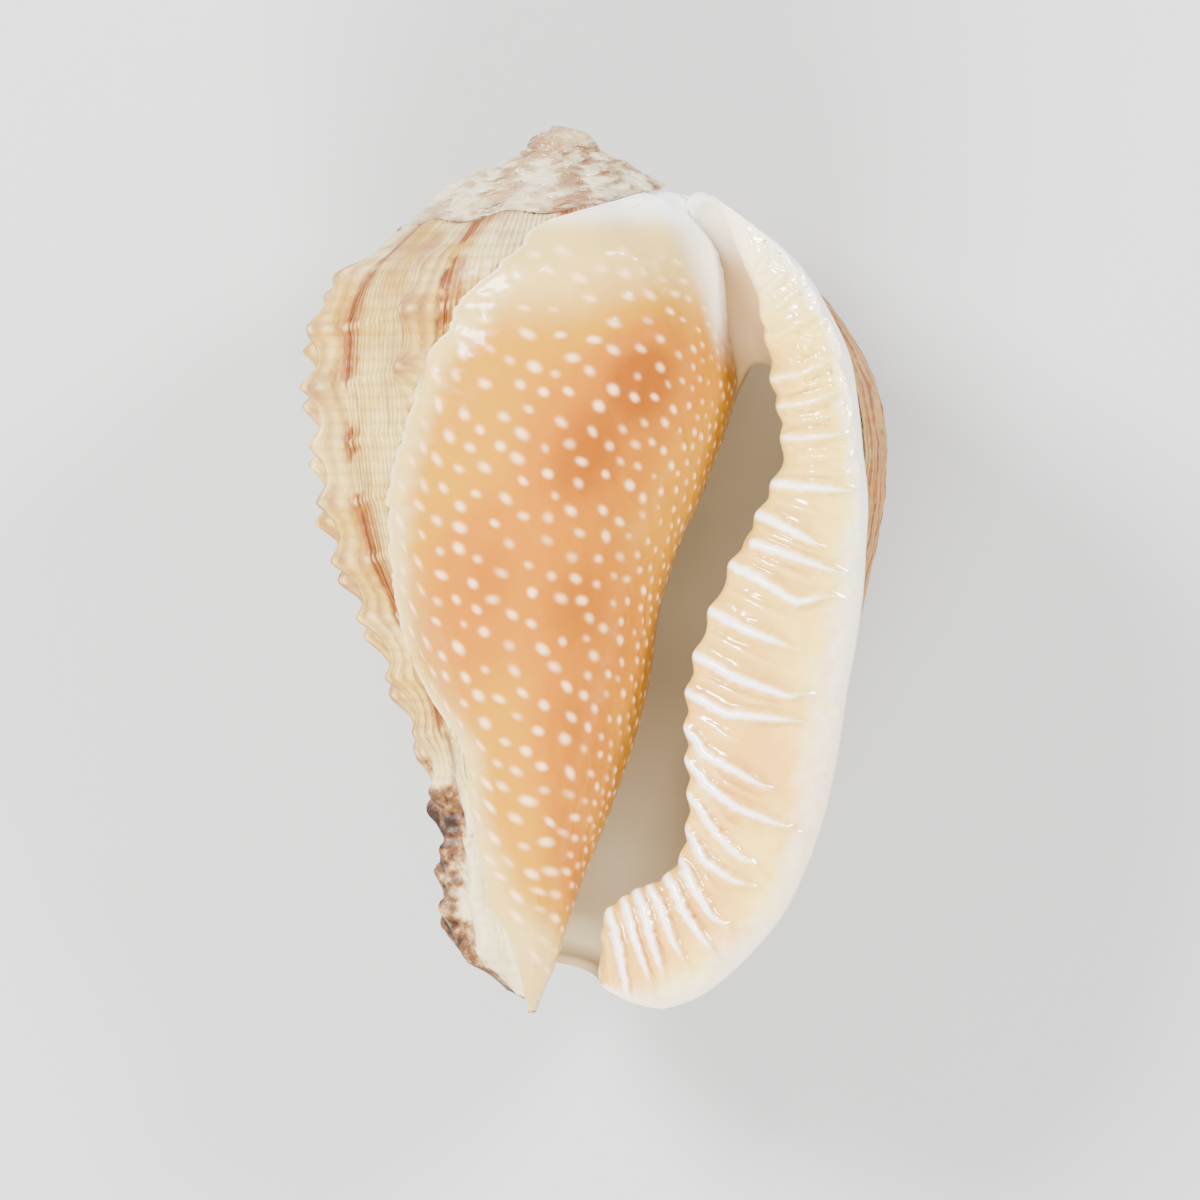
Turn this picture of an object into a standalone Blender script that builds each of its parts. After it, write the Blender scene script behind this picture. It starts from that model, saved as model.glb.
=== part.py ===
"""A seashell of the morum kind, 52 mm long, lying on its back with its aperture facing up.

The shell is one solid: spire, ribbed last whorl, parietal shield, toothed outer lip and open aperture.
Lengths below are in millimetres. X is the width, Y the length with the apex at +Y, and Z the height
above the surface that the shell lies on. Angles turn about the coiling axis: 0 is +X, 90 is +Z, and
they grow the way the shell grew, over the left side and the back to the outer lip at about 380.
"""

import math

import bpy
import numpy as np

MM = 0.001

# The coiling axis, from the apex to the tip of the siphonal canal, and its height at rest.
APEX_X, APEX_Y = -2.2, 26.1
TIP_X, TIP_Y = -4.0, -26.2
AXIS_Z = 14.0

# One turn of the spiral multiplies radii and drops by these. The sizes are those at 180 degrees.
RADIUS_GROWTH, DROP_GROWTH, EARLY_DROP_GROWTH = 1.83, 2.3, 1.75
SUTURE_RADIUS, SUTURE_DROP = 9.4, 6.2
SHOULDER_RADIUS, SHOULDER_DROP = 12.7, 9.2
OLDEST_WHORL = -3

# Toward the lip the suture draws in and climbs, and the shoulder widens, by these shares.
SUTURE_DRAWN_IN, SUTURE_CLIMB, SHOULDER_WIDENING = 0.3, 0.6, 0.25

# The blunt dome at the apex.
DOME_RADIUS, DOME_DROP = 2.1, 1.2

# Radii of the last whorl at levels along the axis, in four directions.
LEVELS = (22.5, 20.0, 17.0, 14.0, 11.0, 8.0, 4.0, 0.0, -4.0, -8.0, -12.0, -16.0, -20.0, -23.0, -25.0, -26.0)
FRONT_RADII = (11.0, 11.0, 10.9, 11.0, 11.0, 10.9, 10.5, 9.9, 9.0, 7.8, 6.6, 5.4, 4.2, 3.0, 1.6, 0.6)
LEFT_RADII = (12.0, 12.5, 12.9, 13.3, 13.4, 13.0, 12.3, 10.9, 8.7, 6.9, 5.6, 4.9, 4.7, 3.5, 1.2, 0.4)
BACK_RADII = (12.0, 12.6, 13.4, 14.0, 14.4, 14.4, 14.1, 13.4, 12.4, 11.0, 9.4, 7.8, 6.4, 5.0, 3.4, 2.4)
RIGHT_RADII = (8.3, 11.2, 14.7, 17.2, 18.8, 19.5, 19.5, 18.9, 18.1, 17.0, 16.4, 15.6, 13.8, 11.6, 8.6, 7.0)
LIP_STARTS, LIP_ENDS, WALL_STARTS = 290.0, 382.0, 75.0
WALL = 1.4
START_SHARE = 0.97
SUTURE_OVERLAP = 0.1

# How widely corners are rounded: at a shoulder as a share of its radius, the others in millimetres.
SHOULDER_ROUNDING, WHORL_ROUNDING, SHIELD_ROUNDING = 0.12, 1.2, 0.8

# Lowest level of the wall: the canal is cut back behind the columella.
BOTTOM = ((75.0, -25.0), (180.0, -25.6), (235.0, -24.6), (270.0, -23.3), (300.0, -23.9),
          (315.0, -25.1), (340.0, -25.6), (382.0, -25.7))

# The inner body: radii of columella and parietal wall toward the right and the upper right.
INNER_LEVELS = (26.0, 22.4, 20.5, 18.8, 17.5, 14.0, 10.9, 8.6, 6.4, 3.9, 1.8, -1.8,
                -5.8, -9.0, -12.8, -15.4, -18.8, -21.3, -23.5, -26.0)
COLUMELLA_RADII = (4.0, 7.5, 8.9, 9.8, 10.1, 10.2, 10.7, 10.2, 9.4, 8.5, 7.5, 6.4,
                   6.1, 5.6, 4.5, 3.6, 2.3, 1.4, 0.8, 0.3)
PARIETAL_RADII = (4.0, 7.9, 9.6, 10.6, 11.0, 11.3, 11.3, 11.0, 10.6, 9.9, 9.2, 8.2,
                  7.3, 6.4, 5.3, 4.4, 3.2, 2.4, 1.6, 0.3)
SHIELD_THICKNESS = 0.7

# Over this level the inner body is bare spire. Between the two others it narrows behind the columella.
SPIRE_LEVEL = 23.5
DEEP_LEVELS, DEEP_SHARE = (8.0, 16.0), 0.75

# The shield's left edge, X at each level.
SHIELD_LEVELS = (24.0, 22.5, 21.0, 18.5, 15.5, 12.0, 8.0, 4.0, 0.0,
                 -5.0, -9.0, -13.0, -17.0, -21.0, -24.0, -26.0)
SHIELD_EDGE_X = (6.5, 3.5, -2.2, -5.3, -8.5, -10.4, -11.6, -12.3, -12.1,
                 -11.0, -8.9, -7.9, -7.2, -5.7, -4.8, -4.3)

# The outer lip, from the posterior canal round the right side to the siphonal notch: X and Y of its
# toothed inner edge, X and Y of its outer margin, and the height of its middle over the axis.
LIP = (
    (6.9, 21.9, 6.9, 22.1, 4.4),
    (7.8, 20.2, 9.0, 20.0, 5.2),
    (8.4, 18.2, 11.3, 17.9, 5.9),
    (9.2, 15.9, 13.0, 15.4, 6.4),
    (9.8, 13.4, 14.0, 12.6, 6.8),
    (10.2, 11.0, 14.8, 9.9, 7.0),
    (10.7, 8.4, 15.3, 7.0, 7.2),
    (10.6, 6.0, 15.6, 4.2, 7.2),
    (9.4, 3.3, 15.5, 1.5, 7.2),
    (7.8, 0.3, 15.3, -1.5, 7.1),
    (6.6, -2.4, 14.9, -4.4, 7.0),
    (5.7, -5.0, 14.4, -7.1, 6.8),
    (5.2, -7.6, 14.0, -9.9, 6.6),
    (5.2, -10.6, 13.5, -12.6, 6.3),
    (5.3, -13.5, 12.9, -15.0, 5.9),
    (5.0, -16.5, 12.0, -17.5, 5.4),
    (3.9, -18.1, 10.6, -20.3, 4.9),
    (2.3, -18.9, 8.4, -22.9, 4.2),
    (0.9, -19.8, 5.8, -25.0, 3.6),
    (0.0, -20.9, 2.9, -25.9, 3.0),
    (-0.7, -22.2, 0.5, -26.0, 2.4),
)
LIP_HALF_THICKNESS = 1.9
LIP_SLOPE = 1.6
LIP_ROUND_ENDS = 14.0
TEETH = 26
TOOTH_HEIGHT = 0.5
TEETH_START = (0.12, 0.25)

# The posterior canal, a groove between the shield and the lip: X of its middle, its height over the axis
# and how far its sides rise, at levels along it.
CANAL_LEVELS = (23.0, 22.2, 20.5, 18.2, 15.9, 13.5, 11.0)
CANAL_MIDDLE = (5.4, 5.9, 7.0, 7.9, 8.3, 8.6, 9.0)
CANAL_FLOOR = (3.0, 3.7, 4.1, 4.2, 4.0, 3.4, 2.2)
CANAL_RISE = (0.6, 0.9, 1.7, 2.1, 2.2, 2.0, 1.4)
CANAL_CENTRE_Y, CANAL_HALF_LENGTH, CANAL_HALF_WIDTH, CANAL_HALF_THICKNESS = 17.0, 5.7, 2.6, 1.6
CANAL_LEFT_CURVE, CANAL_RIGHT_CURVE = 0.12, 0.5

# Sculpture: axial ribs, and the spiral cords that raise a knob where they cross one.
RIB_STEP, FIRST_RIB = 35.0, 165.0
RIB_HEIGHT, RIB_HALF_WIDTH = 0.9, 0.85
CORD_STEP, CORD_FALL, FIRST_CORD = 3.4, 11.5, 17.0
CORD_HEIGHT, KNOB_HEIGHT, CORD_HALF_WIDTH = 0.15, 0.8, 0.95
NODE_SHARE, NODE_HEIGHT_SHARE, NODE_WIDTH_SHARE = 0.12, 0.3, 0.6
FULL_RELIEF_RADIUS = 8.0
RIBS_FADE_ANGLES, RIBS_FADE_LEVELS, KNOBS_START_DROPS = (352.0, 322.0), (-25.0, -22.0), (6.7, 8.7)

# The wall's upper edge is tucked in under the suture over this share of its length.
TUCKED_SHARE, TUCK = 0.03, 0.7

# Columns and rings of the parts before they are joined.
WALL_GRID, BODY_GRID, LIP_GRID, CANAL_GRID = (300, 130), (180, 160), (20, 260), (32, 32)

# How fine the joined skin is, how many triangles are kept of it, and the crease that stays sharp.
VOXEL = 0.42
SMOOTHING = 3
TRIANGLES = 9600
SHARP_DEGREES = 50.0

# The finish: the glossy orange of the shield stands for the whole shell.
COLOUR, ROUGHNESS, METALLIC = (0.86, 0.62, 0.36, 1.0), 0.3, 0.0

# Half the side of the block that cuts the flat spot to rest on.
CUTTER = 50.0


def through(positions, values, at):
    """A smooth curve through stations. Its values are one row of numbers, or one row of arrays like at."""
    p, v = np.asarray(positions, float), np.asarray(values, float)
    if p[0] > p[-1]:
        p, v = p[::-1], v[::-1]
    slope = np.gradient(v, p, axis=0)
    at = np.clip(at, p[0], p[-1])
    i = np.clip(np.searchsorted(p, at) - 1, 0, len(p) - 2)
    span = p[i + 1] - p[i]
    t = (at - p[i]) / span

    def pick(rows, k):
        return rows[k, np.arange(len(at))] if rows.ndim == 2 else rows[k]

    return (
        (2 * t**3 - 3 * t**2 + 1) * pick(v, i)
        + (t**3 - 2 * t**2 + t) * span * pick(slope, i)
        + (3 * t**2 - 2 * t**3) * pick(v, i + 1)
        + (t**3 - t**2) * span * pick(slope, i + 1)
    )


def smooth_step(low, high, x):
    t = np.clip((x - low) / (high - low), 0.0, 1.0)
    return t * t * (3 - 2 * t)


def smooth_min(a, b, width):
    share = np.clip(0.5 + 0.5 * (b - a) / width, 0.0, 1.0)
    return b + (a - b) * share - width * share * (1 - share)


def axis_x(y):
    return APEX_X + (TIP_X - APEX_X) * (APEX_Y - y) / (APEX_Y - TIP_Y)


def coil(angle, whorl):
    """Radius and drop below the apex of a whorl's suture and of its shoulder."""
    turns = (angle - 180.0) / 360.0 + whorl
    wider = RADIUS_GROWTH**turns
    lower = DROP_GROWTH ** np.maximum(turns, -1.0) * EARLY_DROP_GROWTH ** np.minimum(turns + 1.0, 0.0)
    climbing = smooth_step(LIP_STARTS, LIP_ENDS, angle) if whorl == 0 else 0.0
    return (
        SUTURE_RADIUS * wider * (1 - SUTURE_DRAWN_IN * climbing),
        SUTURE_DROP * lower * (1 - SUTURE_CLIMB * climbing),
        SHOULDER_RADIUS * wider * (1 + SHOULDER_WIDENING * climbing),
        SHOULDER_DROP * lower,
    )


def near_rib(angle, radius):
    """1 on the crest of an axial rib, falling to 0 beside it."""
    phase = (angle - FIRST_RIB) / RIB_STEP
    aside = (phase - np.round(phase)) * math.radians(RIB_STEP) * radius
    return np.exp(-((aside / RIB_HALF_WIDTH) ** 2))


def spire_radius(angle, y):
    """The stepped cone of whorls, with a node where a rib crosses a shoulder."""
    drop = np.maximum(APEX_Y - y, 0.0)
    dome = DOME_RADIUS * np.sqrt(1 - np.clip(1 - drop / DOME_DROP, 0.0, 1.0) ** 2)
    radius = dome
    for whorl in range(OLDEST_WHORL, 1):
        suture, suture_drop, shoulder, shoulder_drop = coil(angle, whorl)
        next_suture, next_drop = coil(angle, whorl + 1)[:2]
        ramp = suture + (shoulder - suture) * (drop - suture_drop) / (shoulder_drop - suture_drop)
        side = shoulder + (next_suture - shoulder) * (drop - shoulder_drop) / (next_drop - shoulder_drop)
        height = next_drop - suture_drop
        off = (drop - shoulder_drop) / (NODE_HEIGHT_SHARE * height)
        node = near_rib(angle, shoulder * NODE_WIDTH_SHARE) * np.exp(-(off**2)) * (whorl < 0)
        here = smooth_min(ramp, side, SHOULDER_ROUNDING * shoulder) + NODE_SHARE * shoulder * node
        radius = np.where(drop >= suture_drop, here, radius)
    return np.maximum(radius, dome)


def whorl_radius(angle, y):
    """The last whorl without its sculpture."""
    front, left, back, right = (
        through(LEVELS, r, y) for r in (FRONT_RADII, LEFT_RADII, BACK_RADII, RIGHT_RADII)
    )
    rows = (front * START_SHARE, front, left, back, right, right)
    table = through((60.0, 90.0, 180.0, 270.0, 355.0, 400.0), rows, angle)
    return smooth_min(spire_radius(angle, y), table, WHORL_ROUNDING)


def shield_cover(x, y):
    """1 where the parietal shield lies over the whorl, 0 to the left of its edge."""
    return smooth_step(-0.3, 0.5, x - through(SHIELD_LEVELS, SHIELD_EDGE_X, y))


def sculpture(angle, y, radius):
    """Height of ribs, knobs and cords."""
    rib = near_rib(angle, radius)
    phase = (FIRST_CORD - y - CORD_FALL * (angle - 180.0) / 360.0) / CORD_STEP
    aside = (phase - np.round(phase)) * CORD_STEP
    cord = np.exp(-((aside / CORD_HALF_WIDTH) ** 2))
    visible = smooth_step(*RIBS_FADE_ANGLES, angle) * smooth_step(*RIBS_FADE_LEVELS, y)
    visible = visible * np.minimum(1.0, radius / FULL_RELIEF_RADIUS)
    below_shoulder = smooth_step(*KNOBS_START_DROPS, APEX_Y - y)
    height = rib * (RIB_HEIGHT * (0.5 + 0.5 * below_shoulder) + KNOB_HEIGHT * cord * below_shoulder)
    return visible * (height + CORD_HEIGHT * cord * below_shoulder)


def inner_radius(angle, y):
    """Spire, parietal wall and columella, from -180 behind them, over the right side, to 180."""
    right = through(INNER_LEVELS, COLUMELLA_RADII, y)
    upper = through(INNER_LEVELS, PARIETAL_RADII, y)
    front = through(LEVELS, FRONT_RADII, y) + SHIELD_THICKNESS
    corner = whorl_radius(135.0 + 0 * y, y) + SHIELD_THICKNESS
    left = through(LEVELS, LEFT_RADII, y)
    deep = right * (DEEP_SHARE + (1 - DEEP_SHARE) * smooth_step(*DEEP_LEVELS, y))
    rows = (deep, deep, right, upper, front, corner, left)
    table = through((-180.0, -90.0, 0.0, 45.0, 90.0, 135.0, 180.0), rows, angle)
    cover = shield_cover(axis_x(y) + table * np.cos(np.radians(angle)), y) * (angle > -20.0)
    bare = np.where(angle > 60.0, whorl_radius(angle, y) - WALL, spire_radius(angle, y))
    shielded = smooth_min(spire_radius(angle, y) + SHIELD_THICKNESS * cover, table, SHIELD_ROUNDING)
    seen = np.where(angle > 0.0, bare + (shielded - bare) * np.where(y > SPIRE_LEVEL, 0.0, cover), shielded)
    return np.where(y > SPIRE_LEVEL, spire_radius(angle, y), seen)


def points_at(angle, y, radius):
    a = np.radians(angle)
    return np.stack([axis_x(y) + radius * np.cos(a), y, AXIS_Z + radius * np.sin(a)], axis=1)


def placed(made, name, points):
    """Names an object made from a primitive and moves its vertices to points given in millimetres."""
    made.name = name
    made.data.vertices.foreach_set("co", (points * MM).astype(np.float32).ravel())
    made.data.update()
    return made


def from_sphere(name, grid, place):
    """A UV sphere turned into a body: place(angle, share) gives its points, share running pole to pole."""
    bpy.ops.mesh.primitive_uv_sphere_add(segments=grid[0], ring_count=grid[1], radius=1.0)
    made = bpy.context.active_object
    unit = np.array([v.co for v in made.data.vertices], float)
    angle = np.degrees(np.arctan2(unit[:, 1], unit[:, 0]))
    share = np.arccos(np.clip(unit[:, 2], -1.0, 1.0)) / math.pi
    return placed(made, name, place(angle, share))


def make_wall():
    """The sheet of the last whorl, from its suture to the canal, thickened inward."""
    bpy.ops.mesh.primitive_grid_add(x_subdivisions=WALL_GRID[0], y_subdivisions=WALL_GRID[1], size=2.0)
    made = bpy.context.active_object
    unit = np.array([v.co for v in made.data.vertices], float)
    angle = WALL_STARTS + (LIP_ENDS - WALL_STARTS) * (unit[:, 0] + 1) / 2
    share = (unit[:, 1] + 1) / 2
    top = APEX_Y - coil(angle, 0)[1] + SUTURE_OVERLAP
    stations, levels = zip(*BOTTOM)
    y = top + (through(stations, levels, angle) - top) * share
    smooth = whorl_radius(angle, y)
    cover = shield_cover(axis_x(y) + smooth * np.cos(np.radians(angle)), y) * (angle < 180.0)
    edge = smooth_step(TUCKED_SHARE, 0.0, share)
    radius = smooth + sculpture(angle, y, smooth) * (1 - cover) * (1 - edge) - TUCK * edge
    placed(made, "wall", points_at(angle, y, radius))
    thick = made.modifiers.new("thickness", "SOLIDIFY")
    thick.thickness = WALL * MM
    thick.offset = -1.0
    bpy.ops.object.modifier_apply(modifier=thick.name)
    return made


def make_inner_body():
    def place(angle, share):
        y = APEX_Y + (TIP_Y - APEX_Y) * share**1.4
        return points_at(angle, y, np.where((share >= 1.0) | (share <= 0.0), 0.0, inner_radius(angle, y)))

    return from_sphere("inner_body", BODY_GRID, place)


def make_lip():
    """The thick rim, oval sections from the posterior canal to the siphonal notch, ridged across."""

    def place(angle, share):
        stations = np.arange(len(LIP))
        at = share * stations[-1]
        inner_x, inner_y, outer_x, outer_y, height = (through(stations, row, at) for row in zip(*LIP))
        across = np.cos(np.radians(angle))
        over = np.sin(np.radians(angle))
        end = np.sqrt(np.clip(np.minimum(share, 1 - share) * LIP_ROUND_ENDS, 0.0, 1.0))
        half_width = np.hypot(outer_x - inner_x, outer_y - inner_y) / 2
        thick = np.minimum(LIP_HALF_THICKNESS, 0.7 + 0.5 * half_width) * end
        tooth = TOOTH_HEIGHT * np.cos(2 * math.pi * TEETH * share) * smooth_step(*TEETH_START, share)
        ridged = np.sqrt(np.clip(over + 0.1, 0.0, 1.0)) * smooth_step(0.7, 0.0, across)
        return np.stack(
            [
                (inner_x + outer_x) / 2 + (outer_x - inner_x) / 2 * across * end,
                (inner_y + outer_y) / 2 + (outer_y - inner_y) / 2 * across * end,
                AXIS_Z + height + LIP_SLOPE / 2 * across + thick * over + tooth * ridged,
            ],
            axis=1,
        )

    return from_sphere("lip", LIP_GRID, place)


def make_canal_floor():
    """A pad that closes the posterior canal, its upper side hollowed to a groove."""

    def place(angle, share):
        a, b = np.radians(angle), share * math.pi
        y = CANAL_CENTRE_Y + CANAL_HALF_LENGTH * np.cos(b)
        aside = CANAL_HALF_WIDTH * np.cos(a) * np.sin(b)
        over = np.sin(a) * np.sin(b)
        middle, floor, rise = (through(CANAL_LEVELS, r, y) for r in (CANAL_MIDDLE, CANAL_FLOOR, CANAL_RISE))
        curve = np.where(aside < 0, CANAL_LEFT_CURVE, CANAL_RIGHT_CURVE)
        height = floor + np.minimum(curve * aside**2, rise) + CANAL_HALF_THICKNESS * (over - 1.0)
        return np.stack([middle + aside, y, AXIS_Z + height], axis=1)

    return from_sphere("canal_floor", CANAL_GRID, place)


def triangle_count(made):
    graph = bpy.context.evaluated_depsgraph_get()
    mesh = made.evaluated_get(graph).to_mesh()
    mesh.calc_loop_triangles()
    return len(mesh.loop_triangles)


def make_shell():
    """Joins the regions into one skin, thins it out, and cuts the small flat spot that it rests on."""
    pieces = [make_inner_body(), make_wall(), make_lip(), make_canal_floor()]
    for piece in pieces:
        piece.select_set(True)
    shell = pieces[0]
    bpy.context.view_layer.objects.active = shell
    bpy.ops.object.join()
    shell.name = shell.data.name = "shell"
    skin = shell.modifiers.new("one skin", "REMESH")
    skin.mode = "VOXEL"
    skin.voxel_size = VOXEL * MM
    bpy.ops.object.modifier_apply(modifier=skin.name)
    relax = shell.modifiers.new("relax", "SMOOTH")
    relax.factor = 0.5
    relax.iterations = SMOOTHING
    bpy.ops.object.modifier_apply(modifier=relax.name)
    thin = shell.modifiers.new("fewer triangles", "DECIMATE")
    thin.ratio = TRIANGLES / triangle_count(shell)
    bpy.ops.object.modifier_apply(modifier=thin.name)
    return shell


def cut_rest_spot(shell, cutters):
    """Cuts away what reaches below the surface that the shell lies on."""
    bpy.ops.mesh.primitive_cube_add(size=2 * CUTTER * MM, location=(0.0, 0.0, -CUTTER * MM))
    below = bpy.context.active_object
    below.name = "below_rest_spot"
    below.hide_render = True
    below.display_type = "WIRE"
    move_to(below, cutters)
    cut = shell.modifiers.new("rest spot", "BOOLEAN")
    cut.operation = "DIFFERENCE"
    cut.solver = "EXACT"
    cut.object = below


def dress(shell):
    finish = bpy.data.materials.new("shell")
    finish.use_nodes = True
    shader = finish.node_tree.nodes["Principled BSDF"]
    shader.inputs["Base Color"].default_value = COLOUR
    shader.inputs["Roughness"].default_value = ROUGHNESS
    shader.inputs["Metallic"].default_value = METALLIC
    shell.data.materials.clear()
    shell.data.materials.append(finish)
    shell.data.shade_smooth()
    shell.data.set_sharp_from_angle(angle=math.radians(SHARP_DEGREES))


def new_collection(name):
    made = bpy.data.collections.new(name)
    bpy.context.scene.collection.children.link(made)
    return made


def move_to(thing, home):
    for old_home in list(thing.users_collection):
        old_home.objects.unlink(thing)
    home.objects.link(thing)


def main():
    for old in list(bpy.data.objects):
        bpy.data.objects.remove(old)
    shell = make_shell()
    dress(shell)
    move_to(shell, new_collection("dennisons_morum_shell"))
    cut_rest_spot(shell, new_collection("cutters"))


main()
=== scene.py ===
"""Dresses the morum shell: its ribbed whorls, spire, orange pustuled shield and toothed outer lip.

Lengths in the classes below are in millimetres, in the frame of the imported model: X is the width, Y the
length with the apex at +Y, and Z the height above the surface that the shell lies on. Angles turn about
the coiling axis: 0 is +X, 90 is +Z, and they grow the way the shell grew, over the left side and the
back to the outer lip at 382.
"""

import logging
import math
from dataclasses import dataclass
from enum import Enum
from typing import Any, Callable

import bpy
import numpy as np
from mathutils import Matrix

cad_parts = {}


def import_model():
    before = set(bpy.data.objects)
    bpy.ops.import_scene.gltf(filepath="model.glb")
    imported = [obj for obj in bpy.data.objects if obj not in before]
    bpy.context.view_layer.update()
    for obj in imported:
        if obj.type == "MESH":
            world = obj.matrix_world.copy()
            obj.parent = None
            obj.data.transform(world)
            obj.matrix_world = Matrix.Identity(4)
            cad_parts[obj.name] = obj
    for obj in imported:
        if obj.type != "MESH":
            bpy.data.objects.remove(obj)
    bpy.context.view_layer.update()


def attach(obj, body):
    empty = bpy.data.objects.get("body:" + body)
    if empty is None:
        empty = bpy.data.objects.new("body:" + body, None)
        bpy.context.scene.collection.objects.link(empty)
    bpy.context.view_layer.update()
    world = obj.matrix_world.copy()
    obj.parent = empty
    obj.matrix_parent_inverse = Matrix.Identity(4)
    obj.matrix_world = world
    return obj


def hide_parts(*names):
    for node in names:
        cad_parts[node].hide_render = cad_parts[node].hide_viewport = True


log = logging.getLogger("morum_shell")
MM = 0.001
Array = np.ndarray
Row = tuple[float, ...]
Colour = tuple[float, float, float]
Place = tuple[float, float, float]


def ease(low: float | Array, high: float | Array, x: Array) -> Array:
    """Return 0 below low, 1 above high and a smooth rise between them."""
    t = np.clip((x - low) / (high - low), 0.0, 1.0)
    return t * t * (3 - 2 * t)


def soft_least(a: Array, b: Array, width: float | Array) -> Array:
    """Return the smaller of two arrays, with the corner between them rounded over width."""
    share = np.clip(0.5 + 0.5 * (b - a) / width, 0.0, 1.0)
    return b + (a - b) * share - width * share * (1 - share)


def bump(x: Array, width: float | Array) -> Array:
    """Return a bell of the given half width, 1 where x is 0."""
    return np.exp(-((x / width) ** 2))


def through(positions: Any, values: Any, at: Array) -> Array:
    """Run a smooth curve through stations.

    Args:
        positions: where the stations are, in rising or falling order.
        values: one number per station, or one array like at per station.
        at: where the curve is read.

    Returns:
        The curve's value at each place, held constant past its ends.
    """
    p, v = np.asarray(positions, float), np.asarray(values, float)
    if p[0] > p[-1]:
        p, v = p[::-1], v[::-1]
    slope = np.gradient(v, p, axis=0)
    at = np.clip(at, p[0], p[-1])
    i = np.clip(np.searchsorted(p, at) - 1, 0, len(p) - 2)
    span = p[i + 1] - p[i]
    t = (at - p[i]) / span

    def pick(rows: Array, k: Array) -> Array:
        """Return the stations' values at index k."""
        return rows[k, np.arange(len(at))] if rows.ndim == 2 else rows[k]

    return (
        (2 * t**3 - 3 * t**2 + 1) * pick(v, i)
        + (t**3 - 2 * t**2 + t) * span * pick(slope, i)
        + (3 * t**2 - 2 * t**3) * pick(v, i + 1)
        + (t**3 - t**2) * span * pick(slope, i + 1)
    )


def wander(seed: int, *coordinates: Array, octaves: int = 3) -> Array:
    """Return a smooth irregular field between about -1 and 1, the same on each run.

    Args:
        seed: picks one field out of many.
        coordinates: the places where the field is read, one array per axis, in periods.
        octaves: how many finer fields are added to the first.

    Returns:
        The field at each place.
    """
    rng = np.random.default_rng(seed)
    total, weight = np.zeros_like(coordinates[0], dtype=float), 0.0
    for octave in range(octaves):
        for _ in range(5):
            direction = rng.normal(size=len(coordinates))
            direction *= rng.uniform(0.7, 1.6) * 2**octave / np.linalg.norm(direction)
            phase = rng.uniform(0, 2 * math.pi)
            wave = sum(c * d for c, d in zip(coordinates, direction))
            total += np.sin(2 * math.pi * wave + phase + rng.uniform(0.5, 1.5) * total) / 2**octave
        weight += 5 / 2**octave
    return 1.7 * total / weight


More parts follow.
